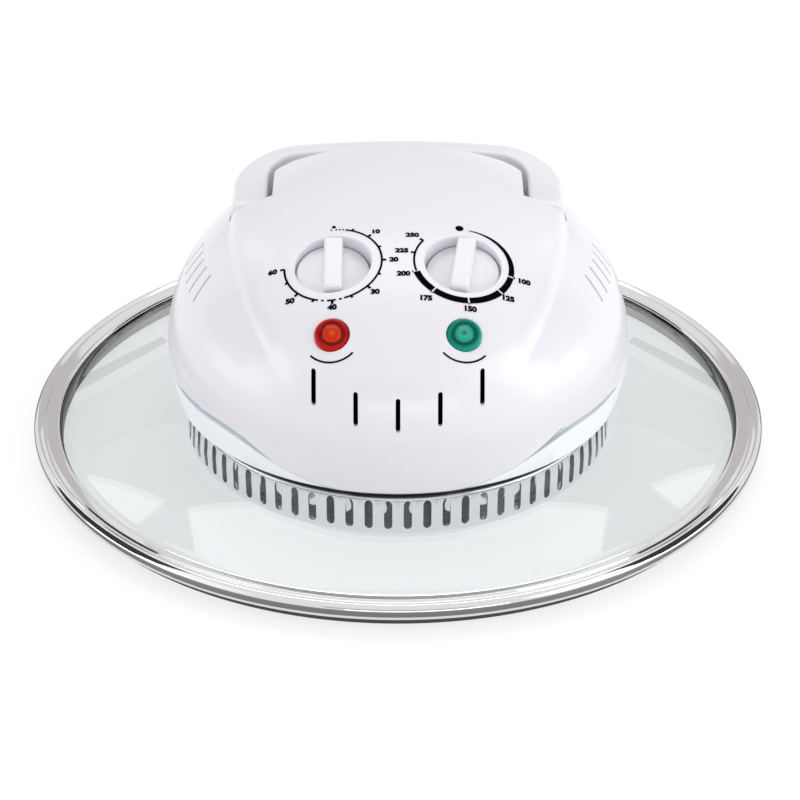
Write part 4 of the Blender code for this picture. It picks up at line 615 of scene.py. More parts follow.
def floor_finish():
    """White that glows a little: by one share for what is seen, by a smaller one for the rest."""
    material, tree, shader = new_look("floor_white")
    white = (FLOOR_WHITE, FLOOR_WHITE, FLOOR_WHITE, 1.0)
    fill_in(tree, shader, {"Base Color": white, "Roughness": FLOOR_ROUGHNESS})
    glow = placed(tree, "Emission", {"Color": (1.0, 1.0, 1.0, 1.0), "Strength": FLOOR_GLOW})
    share = worked_out(tree, "MULTIPLY_ADD", seen_directly(tree), FLOOR_GLOW_SHARE - FLOOR_BOUNCE_SHARE,
                       FLOOR_BOUNCE_SHARE)
    mix = placed(tree, "MixShader", {"Fac": share, 1: shader.outputs["BSDF"], 2: glow.outputs["Emission"]})
    tree.links.new(mix.outputs["Shader"], tree.nodes["Material Output"].inputs["Surface"])
    return material


floor = wrapped("floor", *FLOOR_GRID, floor_place, fill=False)
floor.data.materials.append(floor_finish())
smooth(floor)
print("floor", [round(side, 2) for side in floor.dimensions])

# %% World, lamps and cards
SKY_FILL = 0.68
SKY_SEEN = 1.0
CARD_WARMTH = 0.98
AIM = Vector((0.0, 0.0, 0.05))
# Each lamp and card: compass angle, elevation, distance, width and height, then a lamp's power
# or a card's tone.
LAMPS = {"key": (58.0, 28.0, 2.1, 1.1, 1.1, 5.0),
         "fill": (-68.0, 24.0, 2.3, 1.6, 1.6, 2.0),
         "low_left": (-80.0, 12.0, 2.0, 1.3, 0.9, 6.0),
         "low_right": (80.0, 12.0, 2.0, 1.3, 0.9, 9.5),
         "low_front": (8.0, 6.0, 2.2, 1.8, 0.5, 5.0),
         "window_left": (-137.5, 38.5, 1.9, 0.15, 0.50, 0.34),
         "window_right": (139.0, 35.0, 1.9, 0.15, 0.42, 0.28),
         "window_top": (180.0, 68.0, 1.9, 1.7, 0.8, 7.5)}
CARDS = {"card_left": (-98.0, 30.0, 1.6, 1.1, 0.95, 0.008),
         "card_right": (98.0, 30.0, 1.6, 1.1, 0.95, 0.008),
         "strip_left": (-153.0, 12.0, 1.7, 0.50, 0.10, 0.02),
         "strip_right": (153.0, 12.0, 1.7, 0.50, 0.10, 0.02),
         "card_rear": (180.0, 27.0, 2.0, 2.4, 0.55, 0.62),
         "card_front": (0.0, 26.0, 1.9, 1.3, 0.8, 0.55)}
# A dark ring round the lid is painted shade for the lid's contact shadow on the floor. Only mirrors see it.
SHADE_RING_RADII, SHADE_RING_HEIGHT, SHADE_RING_TONE = (0.178, 0.27), 0.0005, 0.20
SHADE_RING_STEPS = 96


def make_sky():
    world = bpy.data.worlds.new("studio")
    world.use_nodes = True
    tree = world.node_tree
    spread = placed(tree, "MapRange", {"Value": seen_directly(tree), "To Min": SKY_FILL, "To Max": SKY_SEEN})
    strength = spread.outputs["Result"]
    fill_in(tree, tree.nodes["Background"], {"Color": (1.0, 1.0, 1.0, 1.0), "Strength": strength})
    bpy.context.scene.world = world


def aimed(obj, compass, elevation, distance):
    """Put an object round the lid, at a compass angle from the front and a height angle."""
    flat, up = math.radians(compass), math.radians(elevation)
    away = Vector((math.sin(flat) * math.cos(up), -math.cos(flat) * math.cos(up), math.sin(up)))
    obj.location = AIM + away * distance
    obj.rotation_euler = away.to_track_quat("Z", "Y").to_euler()


def soft_lamp(name, compass, elevation, distance, width, height, power):
    data = bpy.data.lights.new(name, "AREA")
    data.shape = "RECTANGLE"
    data.size, data.size_y = width, height
    data.energy = power
    lamp = bpy.data.objects.new(name, data)
    bpy.context.scene.collection.objects.link(lamp)
    aimed(lamp, compass, elevation, distance)


def mirror_only(card, name, tone):
    """Give a card one even tone, and hide it from all but mirrors."""
    material, tree, shader = new_look(name)
    fill_in(tree, shader, {"Base Color": (0.0, 0.0, 0.0, 1.0), "Emission Strength": 1.0,
                           "Emission Color": (tone, tone * CARD_WARMTH, tone * CARD_WARMTH, 1.0)})
    card.data.materials.append(material)
    for sight in ("camera", "shadow", "diffuse", "transmission"):
        setattr(card, "visible_" + sight, False)


def dark_card(name, compass, elevation, distance, width, height, tone):
    """A standing card of one even tone."""
    card = added(name, bpy.ops.mesh.primitive_plane_add, size=1.0)
    card.data.transform(Matrix.Diagonal((width, height, 1.0, 1.0)))
    aimed(card, compass, elevation, distance)
    mirror_only(card, name, tone)


def ring_card(name, radii, height, tone):
    """A dark ring on the floor round the lid, as painted shade: it stands for the lid's contact shadow, which
    the rim's edge mirrors as a thin dark line.
    """
    inner, outer = radii
    corners = [(inner, height), (outer, height), (outer, 2 * height), (inner, 2 * height)]
    mirror_only(turned(name, corners, SHADE_RING_STEPS), name, tone)


make_sky()
for lamp_name, lamp_values in LAMPS.items():
    soft_lamp(lamp_name, *lamp_values)
for card_name, card_values in CARDS.items():
    dark_card(card_name, *card_values)
ring_card("ring_card", SHADE_RING_RADII, SHADE_RING_HEIGHT, SHADE_RING_TONE)
print("light: sky", SKY_FILL, "lamps", sorted(LAMPS), "cards", sorted(CARDS))

# %% [markdown]
# ## Glass lid
#
# The lid's glass is a ring of clear tempered glass 4 mm thick. It lies flat where the head
# and the drum grip it and falls in a slow curve to the rim. Only a smooth wall of even
# thickness bends light as the real one does, so the outline follows the same curve on both
# faces and is turned in many steps. A render treats clear glass as a solid in the way of soft
# light, so the glass is left out of diffuse and shadow rays, and the light under it stays.

# %% Lid glass
RIM_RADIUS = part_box("rim_band")[1].x
RIM_BOTTOM, RIM_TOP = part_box("rim_band")[0].z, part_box("rim_band")[1].z
RIM_WIDTH = 0.013
RIM_SHEET = 0.0008
GLASS_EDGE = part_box("lid_glass")[1].x
GLASS_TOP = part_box("lid_glass")[1].z
GLASS_THICKNESS = 0.004
GLASS_SEAT = 0.104
GLASS_HOLE = 0.091
GLASS_FALL_POWER = 1.35
GLASS_STEPS = 22
TURN_STEPS = 192
FIT = 0.0003


def glass_height(radius):
    """Height of the glass's upper face."""
    edge_top = RIM_BOTTOM + RIM_SHEET + FIT + GLASS_THICKNESS
    share = min(max((radius - GLASS_SEAT) / (RIM_RADIUS - RIM_WIDTH - GLASS_SEAT), 0.0), 1.0)
    return GLASS_TOP - (GLASS_TOP - edge_top) * share ** GLASS_FALL_POWER


def glass_outline():
    fall = GLASS_EDGE - GLASS_HOLE
    radii = [GLASS_HOLE + fall * step / GLASS_STEPS for step in range(GLASS_STEPS + 1)]
    upper = [(radius, glass_height(radius)) for radius in radii]
    lower = [(radius, height - GLASS_THICKNESS) for radius, height in reversed(upper)]
    return upper + lower


glass = smooth(turned("glass_ring", glass_outline(), TURN_STEPS))
hand_over(glass, "lid", "lid_glass", "lid_glass")
# Its grey tint paints the shade that it would cast under itself.
glass.visible_diffuse = False
glass.visible_shadow = False

# %% [markdown]
# ## Steel rim and seal
#
# The rim is a band of polished stainless steel, rolled round the edge of the glass. In the
# photo it shows as several thin rings of light and dark: the rolled outer edge, a groove, a
# flat, and a fine inner bead beside a dark line, where the seal shows. Those rings are real
# steps in the sheet, so they are in the outline and not in the material.

# %% Rim band
RIM_FACE = 0.0118
RIM_ROLL, RIM_GROOVE, RIM_BEAD = 0.0022, 0.0012, 0.0006
GROOVE_FLOOR_SHARE, GROOVE_WALL_SHARE, HEM_SHARE, FLAT_SHARE = 2.4, 2.7, 3.0, 2.6
FOOT_ROUND, SHOULDER_ROUND, ROLL_ROUND, HEM_ROUND = 0.0016, 0.0021, 0.0012, 0.0003
GROOVE_ROUND, WALL_ROUND, FLAT_ROUND = 0.0006, 0.0004, 0.0008


def rim_outline():
    """The rim's section, from its foot over the roll, groove, flat and bead, and back below."""
    outer, inner = RIM_RADIUS, RIM_RADIUS - RIM_FACE
    roll, groove_z = RIM_ROLL, RIM_TOP - RIM_GROOVE
    glass_low, glass_high = RIM_BOTTOM + RIM_SHEET, glass_height(inner) + FIT
    throat, hem = outer - roll - RIM_SHEET, outer - HEM_SHARE * roll
    return rounded([
        (outer, RIM_BOTTOM + roll, FOOT_ROUND), (outer, RIM_TOP - roll, SHOULDER_ROUND),
        (outer - roll, RIM_TOP, ROLL_ROUND), (outer - 2 * roll, groove_z, GROOVE_ROUND),
        (outer - GROOVE_FLOOR_SHARE * roll, groove_z, WALL_ROUND),
        (outer - GROOVE_WALL_SHARE * roll, RIM_TOP - RIM_GROOVE / 4, WALL_ROUND),
        (inner + FLAT_SHARE * RIM_BEAD, groove_z - RIM_BEAD / 2, FLAT_ROUND),
        (inner + RIM_BEAD, groove_z, GROOVE_ROUND), (inner, glass_high + RIM_BEAD, WALL_ROUND),
        (inner, glass_high, 0.0), (throat, glass_high, 0.0), (throat, glass_low, 0.0),
        (hem, glass_low, 0.0), (hem, RIM_BOTTOM, HEM_ROUND), (outer - roll, RIM_BOTTOM, ROLL_ROUND)])


rim = smooth(turned("steel_rim", rim_outline(), TURN_STEPS), SOFT_ANGLE)
hand_over(rim, "lid", "bright_steel", "rim_band")

# %% Rim seal
SEAL_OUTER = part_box("rim_seal")[1].x
SEAL_WIDTH = 0.0066
SEAL_LIP = 0.0012


def seal_outline():
    """A soft ring with a rounded foot, its top against the glass's underside."""
    inner = SEAL_OUTER - SEAL_WIDTH
    under_outer = glass_height(SEAL_OUTER) - GLASS_THICKNESS - FIT
    under_inner = glass_height(inner) - GLASS_THICKNESS - FIT
    middle = (SEAL_OUTER + inner) / 2
    return rounded([(SEAL_OUTER, under_outer, 0.0), (SEAL_OUTER, 0.0, SEAL_LIP),
                    (middle + SEAL_LIP, 0.0, SEAL_LIP / 2), (middle, SEAL_LIP / 2, SEAL_LIP / 2),
                    (middle - SEAL_LIP, 0.0, SEAL_LIP / 2), (inner, 0.0, SEAL_LIP),
                    (inner, under_inner, 0.0)])


seal = smooth(turned("soft_seal", seal_outline(), TURN_STEPS))
hand_over(seal, "lid", "grey_silicone", "rim_seal")

# %% [markdown]
# ## Slotted drum
#
# Hot air leaves the drum through upright slots all round. The drum is pressed from one sheet:
# a flange that is screwed up against the glass, a wall with 72 slots, and a narrow lip that
# holds the guard. The wall is turned first, and one slot cutter is copied round it, as the
# press tool would punch it. A second ring stands behind the slots, with twice the pitch, and
# shows through them.

# %% Drum
DRUM_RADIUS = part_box("slotted_drum")[1].x
DRUM_LOW, DRUM_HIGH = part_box("slotted_drum")[0].z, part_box("slotted_drum")[1].z
DRUM_SHEET = 0.0010
DRUM_FLANGE = 0.072
DRUM_LIP = 0.0055
DRUM_ROUND, DRUM_LIP_ROUND = 0.0014, 0.0002
DRUM_SLOTS = 72
DRUM_SLOT_SIZE = (0.0036, 0.0140)
DRUM_SLOT_MIDDLE = 0.0112
CUT_REACH = 0.004
PUNCH_END_STEPS = 5
SLOT_SHIFT_SHARE = 0.5


def punched(ring, name, radius, count, size, middle):
    """Punch upright slots all round a ring."""
    punch = raised(name, slot_outline(*size, PUNCH_END_STEPS), 2 * CUT_REACH)
    places = []
    for index in range(count):
        angle = math.tau * (index + SLOT_SHIFT_SHARE) / count
        places.append(axes_at(around(angle, middle, radius), around(angle + math.pi / 2), (0.0, 0.0, 1.0)))
    carve(ring, copies(punch, places))


def drum_outline():
    top, low, sheet = DRUM_HIGH, DRUM_LOW, DRUM_SHEET
    lip, inner = DRUM_RADIUS - DRUM_LIP, DRUM_RADIUS - sheet
    return rounded([(DRUM_FLANGE, top, 0.0), (DRUM_RADIUS, top, DRUM_ROUND), (DRUM_RADIUS, low, DRUM_ROUND),
                    (lip, low, DRUM_LIP_ROUND), (lip, low + sheet, DRUM_LIP_ROUND),
                    (inner, low + sheet, DRUM_ROUND / 3), (inner, top - sheet, DRUM_ROUND / 3),
                    (DRUM_FLANGE, top - sheet, 0.0)])


drum = turned("drum", drum_outline(), 2 * DRUM_SLOTS)
punched(drum, "drum_punch", DRUM_RADIUS, DRUM_SLOTS, DRUM_SLOT_SIZE, DRUM_SLOT_MIDDLE)
hand_over(smooth(close_up(drum, fill=False)), "lid", "drum_steel", "slotted_drum")

# %% Inner screen
# The screen's near-black finish is painted shade for the dark inside the drum, seen through its slots.
SCREEN_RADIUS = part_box("inner_screen")[1].x
SCREEN_LOW, SCREEN_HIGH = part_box("inner_screen")[0].z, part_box("inner_screen")[1].z
SCREEN_SHEET = 0.0009
SCREEN_SLOTS = 36
SCREEN_SLOT_SIZE = (0.0060, 0.0085)
screen_corners = [(SCREEN_RADIUS - SCREEN_SHEET, SCREEN_LOW), (SCREEN_RADIUS, SCREEN_LOW),
                  (SCREEN_RADIUS, SCREEN_HIGH), (SCREEN_RADIUS - SCREEN_SHEET, SCREEN_HIGH)]
screen = turned("screen_ring", screen_corners, 4 * SCREEN_SLOTS)
punched(screen, "screen_punch", SCREEN_RADIUS, SCREEN_SLOTS, SCREEN_SLOT_SIZE,
        (SCREEN_LOW + SCREEN_HIGH) / 2)
hand_over(smooth(close_up(screen, fill=False)), "lid", "plated_steel", "inner_screen")

# %% [markdown]
# ## The head's form
#
# The white head is one moulding whose outer face all its neighbours share. In plan it is
# round. Seen from the side it is a soft dome whose crown sits towards the rear, so that the
# controls lie on a long slope to the front. A raised console, shaped like a shield, stands a
# few millimetres proud of the dome. Both are written as one function: given a direction and a
# share of the way from the crown to the wall, it says where the face is. The shell, its
# louvres and the printed marks ask it. The wells, knobs and lenses are placed by a form of it
# that takes a place in plan, so that all of them agree.

# %% Head form
HEAD_RADIUS = 0.1062
HEAD_BASE_RADIUS = 0.103
HEAD_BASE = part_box("base_ring")[0].z
HEAD_SHOULDER = 0.045
HEAD_CROWN = 0.117
CROWN_SETBACK = 0.045
HEAD_POWER = 2.4
WALL = 0.0025
CONSOLE_HALF_WIDTH = 0.077
CONSOLE_WIDEST_Y = 0.020
CONSOLE_FRONT_REACH, CONSOLE_REAR_REACH = 0.1248, 0.046
CONSOLE_LIFT_REAR, CONSOLE_LIFT_FRONT = 0.0075, 0.0022
CONSOLE_SIDE_POWER, CONSOLE_FRONT_POWER, CONSOLE_REAR_POWER = 2.8, 2.1, 3.5
CONSOLE_EDGE_SHARE, CONSOLE_EDGE_POWER = 0.82, 1.6


def eased(value):
    held = min(max(value, 0.0), 1.0)
    return held * held * (3.0 - 2.0 * held)


def wall_reach(angle, radius=HEAD_RADIUS):
    """Distance from the crown's foot to the wall, in a direction counted from -Y."""
    lean = -CROWN_SETBACK * math.cos(angle)
    return -lean + math.sqrt(lean * lean - CROWN_SETBACK ** 2 + radius ** 2)


def console_mask(x, y):
    """1 on the raised console, 0 outside it. Its flank is soft above and crisp at its foot."""
    side = abs(x) / CONSOLE_HALF_WIDTH
    if y < CONSOLE_WIDEST_Y:
        ahead = (CONSOLE_WIDEST_Y - y) / CONSOLE_FRONT_REACH
        level = side ** CONSOLE_SIDE_POWER + ahead ** CONSOLE_FRONT_POWER
    else:
        behind = (y - CONSOLE_WIDEST_Y) / CONSOLE_REAR_REACH
        level = side ** CONSOLE_REAR_POWER + behind ** CONSOLE_REAR_POWER
    fall = (level - CONSOLE_EDGE_SHARE) / (1.0 - CONSOLE_EDGE_SHARE)
    return 1.0 - min(max(fall, 0.0), 1.0) ** CONSOLE_EDGE_POWER


def console_lift(share):
    return CONSOLE_LIFT_REAR + (CONSOLE_LIFT_FRONT - CONSOLE_LIFT_REAR) * share


def head_point(angle, share, inset=0.0):
    """A point of the outer face, or of the same form set in by a wall."""
    reach = wall_reach(angle, HEAD_RADIUS - inset)
    rise = HEAD_CROWN - inset - HEAD_SHOULDER
    level = max(1.0 - share ** HEAD_POWER, 0.0) ** (1.0 / HEAD_POWER)
    point = Vector((share * reach * math.sin(angle), CROWN_SETBACK - share * reach * math.cos(angle),
                    HEAD_SHOULDER + rise * level))
    outward = share ** (HEAD_POWER - 1.0) / reach
    upward = level ** (HEAD_POWER - 1.0) / rise
    normal = Vector((outward * math.sin(angle), -outward * math.cos(angle), upward)).normalized()
    return point + normal * console_lift(share) * console_mask(point.x, point.y)


def head_height(x, y):
    """Height above a place in plan, with the console lifted straight up from the dome."""
    angle = math.atan2(x, CROWN_SETBACK - y)
    share = math.hypot(x, y - CROWN_SETBACK) / wall_reach(angle)
    level = max(1.0 - share ** HEAD_POWER, 0.0) ** (1.0 / HEAD_POWER)
    return HEAD_SHOULDER + (HEAD_CROWN - HEAD_SHOULDER) * level + console_lift(share) * console_mask(x, y)


print("crown at", round(head_height(0.0, CROWN_SETBACK) * MILLIMETRES, 1), "mm")

# %% Lower edge of the head
SEAM_FRONT, SEAM_SIDE = 0.0268, 0.0425
SEAM_RISE = (math.radians(12), math.radians(50))
SCOOP_HEIGHT = 0.0062
SCOOP_SPAN = (math.radians(29), math.radians(74))
SCOOP_POWER = 1.5
SIDE_POWER = 0.5


def seam_height(turn):
    """The seam's height in a direction about the lid's axis, counted from -Y."""
    rise = eased((abs(turn) - SEAM_RISE[0]) / (SEAM_RISE[1] - SEAM_RISE[0]))
    return SEAM_FRONT + (SEAM_SIDE - SEAM_FRONT) * rise


def shell_edge(turn):
    """The shell's own edge, scooped up above the seam on each side of the front."""
    along = (abs(turn) - SCOOP_SPAN[0]) / (SCOOP_SPAN[1] - SCOOP_SPAN[0])
    scoop = math.sin(math.pi * along) ** SCOOP_POWER if 0.0 < along < 1.0 else 0.0
    return seam_height(turn) + SCOOP_HEIGHT * scoop


def side_radius(height):
    """Radius of the head's side between its base and its shoulder."""
    share = min((height - HEAD_BASE) / (HEAD_SHOULDER - HEAD_BASE), 1.0)
    return HEAD_BASE_RADIUS + (HEAD_RADIUS - HEAD_BASE_RADIUS) * eased(share) ** SIDE_POWER


print("seam from", SEAM_FRONT, "to", SEAM_SIDE)

# %% [markdown]
# ### The skin
#
# A flat grid is rolled into the dome: one side of the grid becomes the crown, the other the
# lower edge, and the two ends meet at the rear. The grid is spread so that its rows crowd
# where the dome turns down into the wall, which is where a coarse mesh would show corners.
# The same grid, set in by the wall's thickness, later hollows the dome out.

# %% Skin
SKIN_STEPS = 360
SKIN_ROWS = 112
DOME_SHARE = 0.86
SKIN_FLAT = 0.0005


def skin_place(inset, lowest):
    """Where a grid point (u, v) goes: v runs from the crown down to the lowest edge."""
    def place(u, v):
        turn = math.tau * u - math.pi
        angle = math.atan2(HEAD_RADIUS * math.sin(turn), CROWN_SETBACK + HEAD_RADIUS * math.cos(turn))
        if v <= DOME_SHARE:
            lean = math.pi / 2 * max(v / DOME_SHARE, SKIN_FLAT)
            return head_point(angle, math.sin(lean) ** (2.0 / HEAD_POWER), inset)
        fall = (v - DOME_SHARE) / (1.0 - DOME_SHARE)
        height = HEAD_SHOULDER + (lowest(turn) - HEAD_SHOULDER) * fall
        radius = side_radius(height) - inset
        return Vector((radius * math.sin(turn), -radius * math.cos(turn), height))
    return place


def skin(name, inset, lowest):
    return wrapped(name, SKIN_STEPS, SKIN_ROWS, skin_place(inset, lowest))


print("skin:", SKIN_STEPS, "by", SKIN_ROWS)

# %% [markdown]
# ### The handle's path
#
# The handle is a bail: two arms beside the console and a bar across the rear, joined by round
# corners. It lies folded in a channel, flush with the head. Channel and handle are the same
# path drawn twice, with two outlines. The path is a list of stations from the front of the
# right arm to the front of the left one, each with its place, the direction that points
# outwards, and how much of the full depth it has, which falls away at the rounded arm ends.

# %% Handle path
ARM_WIDTH, BAR_WIDTH, HANDLE_DEPTH = 0.0164, 0.0126, 0.012
ARM_X, BAR_Y, CORNER_RADIUS = 0.0683, 0.0599, 0.021
PIVOT_Y = 0.020
ARM_END = 0.0074
BAR_BELOW_CONSOLE = 0.006
SIDE_DROP, FRONT_DROP = 0.0045, 0.005
ARM_SLIT, BAR_SLIT, SIDE_GAP = 0.0030, 0.0075, 0.0006
CHANNEL_FLOOR_GAP = 0.0020
CHANNEL_FRONT_GAP = 0.0006
CHANNEL_RISE = 0.020
END_STATIONS, ARM_STATIONS, CORNER_STATIONS, BAR_STATIONS = 9, 8, 14, 16


def handle_crest(x, y):
    """Height of the handle's top above a place in plan."""
    back = min(max((y - PIVOT_Y) / (BAR_Y - PIVOT_Y), 0.0), 1.0)
    bar_top = HEAD_CROWN + CONSOLE_LIFT_REAR - BAR_BELOW_CONSOLE
    return bar_top - SIDE_DROP * (x / ARM_X) ** 2 - FRONT_DROP * (1.0 - back * back)


def handle_path(ends):
    corner_x, corner_y = ARM_X - CORNER_RADIUS, BAR_Y - CORNER_RADIUS
    half = [(ARM_X, y, 0.0, depth) for y, depth in ends]
    for step in range(1, ARM_STATIONS + 1):
        half.append((ARM_X, PIVOT_Y + (corner_y - PIVOT_Y) * step / ARM_STATIONS, 0.0, 1.0))
    for step in range(1, CORNER_STATIONS + 1):
        turn = math.pi / 2 * step / CORNER_STATIONS
        half.append((corner_x + CORNER_RADIUS * math.cos(turn), corner_y + CORNER_RADIUS * math.sin(turn),
                     turn, 1.0))
    bar = [(corner_x - 2 * corner_x * step / BAR_STATIONS, BAR_Y, math.pi / 2, 1.0)
           for step in range(1, BAR_STATIONS)]
    return half + bar + [(-x, y, math.pi - turn, depth) for x, y, turn, depth in reversed(half)]


def follow_path(name, ends, section):
    """Draw a section along the handle's path, flattened to its mid-height at rounded ends."""
    path = handle_path(ends)
    loops = []
    for x, y, turn, depth in path:
        out = Vector((math.cos(turn), math.sin(turn), 0.0))
        crest = handle_crest(x, y)
        middle = crest - HANDLE_DEPTH / 2
        loop = [Vector((x, y, middle + (crest + height - middle) * depth)) + out * offset
                for offset, height in section(turn)]
        loops.append(loop + loop[:1])
    across, along = len(loops[0]) - 1, len(loops) - 1
    return wrapped(name, across, along, lambda u, v: loops[round(v * along)][round(u * across)])


def half_width(turn):
    return (ARM_WIDTH + (BAR_WIDTH - ARM_WIDTH) * eased(math.sin(turn))) / 2


def channel(name, grow):
    """The channel that the handle lies in, or the same grown by a wall."""
    def section(turn):
        slit = ARM_SLIT + (BAR_SLIT - ARM_SLIT) * eased(math.sin(turn))
        inner, outer = half_width(turn) + slit + grow, half_width(turn) + SIDE_GAP + grow
        floor = -HANDLE_DEPTH - CHANNEL_FLOOR_GAP - grow
        return [(-inner, floor), (-inner, CHANNEL_RISE), (outer, CHANNEL_RISE), (outer, floor)]
    front = PIVOT_Y - ARM_END - CHANNEL_FRONT_GAP - grow
    return follow_path(name, [(front, 1.0), (PIVOT_Y, 1.0)], section)


print("handle path:", len(handle_path([(PIVOT_Y, 1.0)])), "stations")

# %% [markdown]
# ## Upper shell
#
# The shell is the closed dome minus its inside. The inside is the dome set in by a wall, but
# it must leave material round the handle's channel, the finger recess and the knob wells, as
# the mould does, so grown copies of those are taken out of the inside first. Then come the
# openings: the channel, the recess, round wells whose rims are rounded, seats for the lamp
# lenses, five upright slots in front, five shallow louvre grooves on each shoulder, and the
# round hole for the cord's bush in the rear wall.

# %% Cutters of the shell
KNOB_X, KNOB_Y, KNOB_TILT = 0.0283, -0.046, math.radians(20)
WELL_RADIUS, WELL_DEPTH, WELL_ROUND = 0.0167, 0.0085, 0.0009
WELL_STEPS = 96
LAYING_STEPS = 4
NECK_RADIUS = 0.0058
LENS_RADIUS, LENS_STEM_RADIUS, LENS_SEAT, LENS_SEAT_ROUND = 0.0075, 0.0058, 0.0010, 0.0003
RECESS_LOW, RECESS_HIGH = Vector((-0.032, 0.054, 0.101)), Vector((0.032, 0.084, 0.125))
RECESS_ROUND, RECESS_STEPS = 0.006, 6
VENT_PITCH, VENT_SIZE, VENT_REACH = 0.018, (0.0020, 0.0145), 0.058
VENT_HEIGHTS = (0.0658, 0.0678, 0.0742)
LOUVRE_FIRST, LOUVRE_PITCH = math.radians(51.2), math.radians(4.2)
LOUVRE_WIDTH, LOUVRE_DEPTH = 0.0014, 0.0011
LOUVRE_SHARES = (0.835, 0.915)
LOUVRES = 5


def on_face(x, y):
    return Vector((x, y, head_height(x, y)))


def face_frame(centre, tilt):
    """The frame of a fitted piece: its origin on the face, its z axis leaning forward."""
    return Matrix.Translation(centre) @ Matrix.Rotation(tilt, 4, "X")


def face_height(x, y):
    """Height of the face itself: the console is lifted square to the dome, not straight up."""
    foot = Vector((x, y))
    for _ in range(LAYING_STEPS):
        angle = math.atan2(foot.x, CROWN_SETBACK - foot.y)
        share = math.hypot(foot.x, foot.y - CROWN_SETBACK) / wall_reach(angle)
        point = head_point(angle, share)
        foot += Vector((x - point.x, y - point.y))
    return point.z


def laid_on(frame_matrix, x, y, lift=0.0):
    """A point of the head's face above (x, y) in such a frame, lifted off by a little."""
    along = frame_matrix.to_3x3() @ Vector((0.0, 0.0, 1.0))
    point = frame_matrix @ Vector((x, y, 0.0))
    for _ in range(LAYING_STEPS):
        point += along * (face_height(point.x, point.y) - point.z) * along.z
    return point + along * lift


def tilted(obj, centre, tilt):
    obj.data.transform(face_frame(centre, tilt))
    return obj


def plug(name, centre, tilt, radius, depth):
    """A plain round block, for the wall that a well needs round itself."""
    return tilted(rod(name, radius, CUT_REACH, -depth, WELL_STEPS), centre, tilt)


def well_cutter(name, centre, tilt, radius, neck, depth, lip):
    """A stepped round cutter. Its mouth flares along the console's own curve, so that the rim
    it leaves is rounded by the same amount all the way round."""
    frame_matrix = face_frame(centre, tilt)
    quarter = [math.pi / 2 * step / CORNER_STEPS for step in range(CORNER_STEPS + 1)]
    mouth = [(0.0, CUT_REACH), (radius + lip, CUT_REACH)]
    mouth += [(radius + lip * (1.0 - math.sin(turn)), lip * (math.cos(turn) - 1.0)) for turn in quarter]
    inside = [(radius, -depth, lip / 2), (neck, -depth, 0.0), (neck, -depth - 2 * CUT_REACH, 0.0)]
    floor = rounded([(radius, -depth / 2, 0.0)] + inside + [(0.0, -depth - 2 * CUT_REACH, 0.0)])

    def place(u, v):
        turn = math.tau * v
        across, along = math.cos(turn), math.sin(turn)
        index = round(u * (len(mouth) + len(floor) - 1))
        if index < len(mouth):
            reach, rise = mouth[index]
            rim = (frame_matrix.inverted() @ laid_on(frame_matrix, radius * across, radius * along)).z
            rise += rim * min(reach / radius, 1.0)
            return frame_matrix @ Vector((reach * across, reach * along, rise))
        reach, height = floor[index - len(mouth)]
        return frame_matrix @ Vector((reach * across, reach * along, height))

    return wrapped(name, len(mouth) + len(floor) - 1, WELL_STEPS, place, fill=False)


def recess(name, grow):
    """The finger recess behind the bar: a block with rounded corners, or the same grown."""
    low, high = RECESS_LOW - Vector((grow, grow, grow)), RECESS_HIGH + Vector((grow, grow, 0.0))
    return apply_step(block(name, low, high), "BEVEL", width=RECESS_ROUND, segments=RECESS_STEPS,
                      limit_method="ANGLE")


print("well radius", WELL_RADIUS, "lens radius", LENS_RADIUS)

# %% Upper shell
shell = skin("shell", 0.0, shell_edge)
hollow = skin("hollow", WALL, lambda turn: HEAD_BASE - CUT_REACH)
carve(hollow, channel("channel_walls", WALL))
carve(hollow, recess("recess_walls", WALL))
for side in (-1, 1):
    well = on_face(side * KNOB_X, KNOB_Y)
    carve(hollow, plug("well_wall", well, KNOB_TILT, WELL_RADIUS + WALL, WELL_DEPTH + WALL))
carve(shell, hollow)
carve(shell, channel("channel_cut", 0.0))
carve(shell, recess("recess_cut", 0.0))
for side in (-1, 1):
    well = on_face(side * KNOB_X, KNOB_Y)
    carve(shell, well_cutter("well_cut", well, KNOB_TILT, WELL_RADIUS, NECK_RADIUS, WELL_DEPTH, WELL_ROUND))
    seat = on_face(side * LAMP_X, LAMP_PLACE_Y)
    seat_radius, stem_radius = LENS_RADIUS + FIT, LENS_STEM_RADIUS + FIT
    seat_cut = well_cutter("seat_cut", seat, LAMP_TILT, seat_radius, stem_radius, LENS_SEAT, LENS_SEAT_ROUND)
    carve(shell, seat_cut)
print("shell with its channel and wells:", len(shell.data.polygons), "faces")

# %% Slots and louvres
vent = raised("vent", slot_outline(*VENT_SIZE), VENT_REACH)
vent_places = [axes_at((index * VENT_PITCH, -HEAD_RADIUS, VENT_HEIGHTS[abs(index)]), (1.0, 0.0, 0.0),
                       (0.0, 0.0, 1.0)) for index in range(-2, 3)]
carve(shell, copies(vent, vent_places))


def louvre_place(side, index):
    angle = side * (LOUVRE_FIRST + LOUVRE_PITCH * index)
    upper, lower = (head_point(angle, share) for share in LOUVRE_SHARES)
    across = Vector((math.cos(angle), math.sin(angle), 0.0))
    return axes_at((upper + lower) / 2, across, upper - lower), (upper - lower).length


for side in (-1, 1):
    for index in range(LOUVRES):
        louvre_matrix, louvre_length = louvre_place(side, index)
        louvre = raised("louvre", slot_outline(LOUVRE_WIDTH, louvre_length), 2 * LOUVRE_DEPTH, louvre_matrix)
        carve(shell, louvre)
print("louvres:", 2 * LOUVRES, "slots:", len(vent_places))

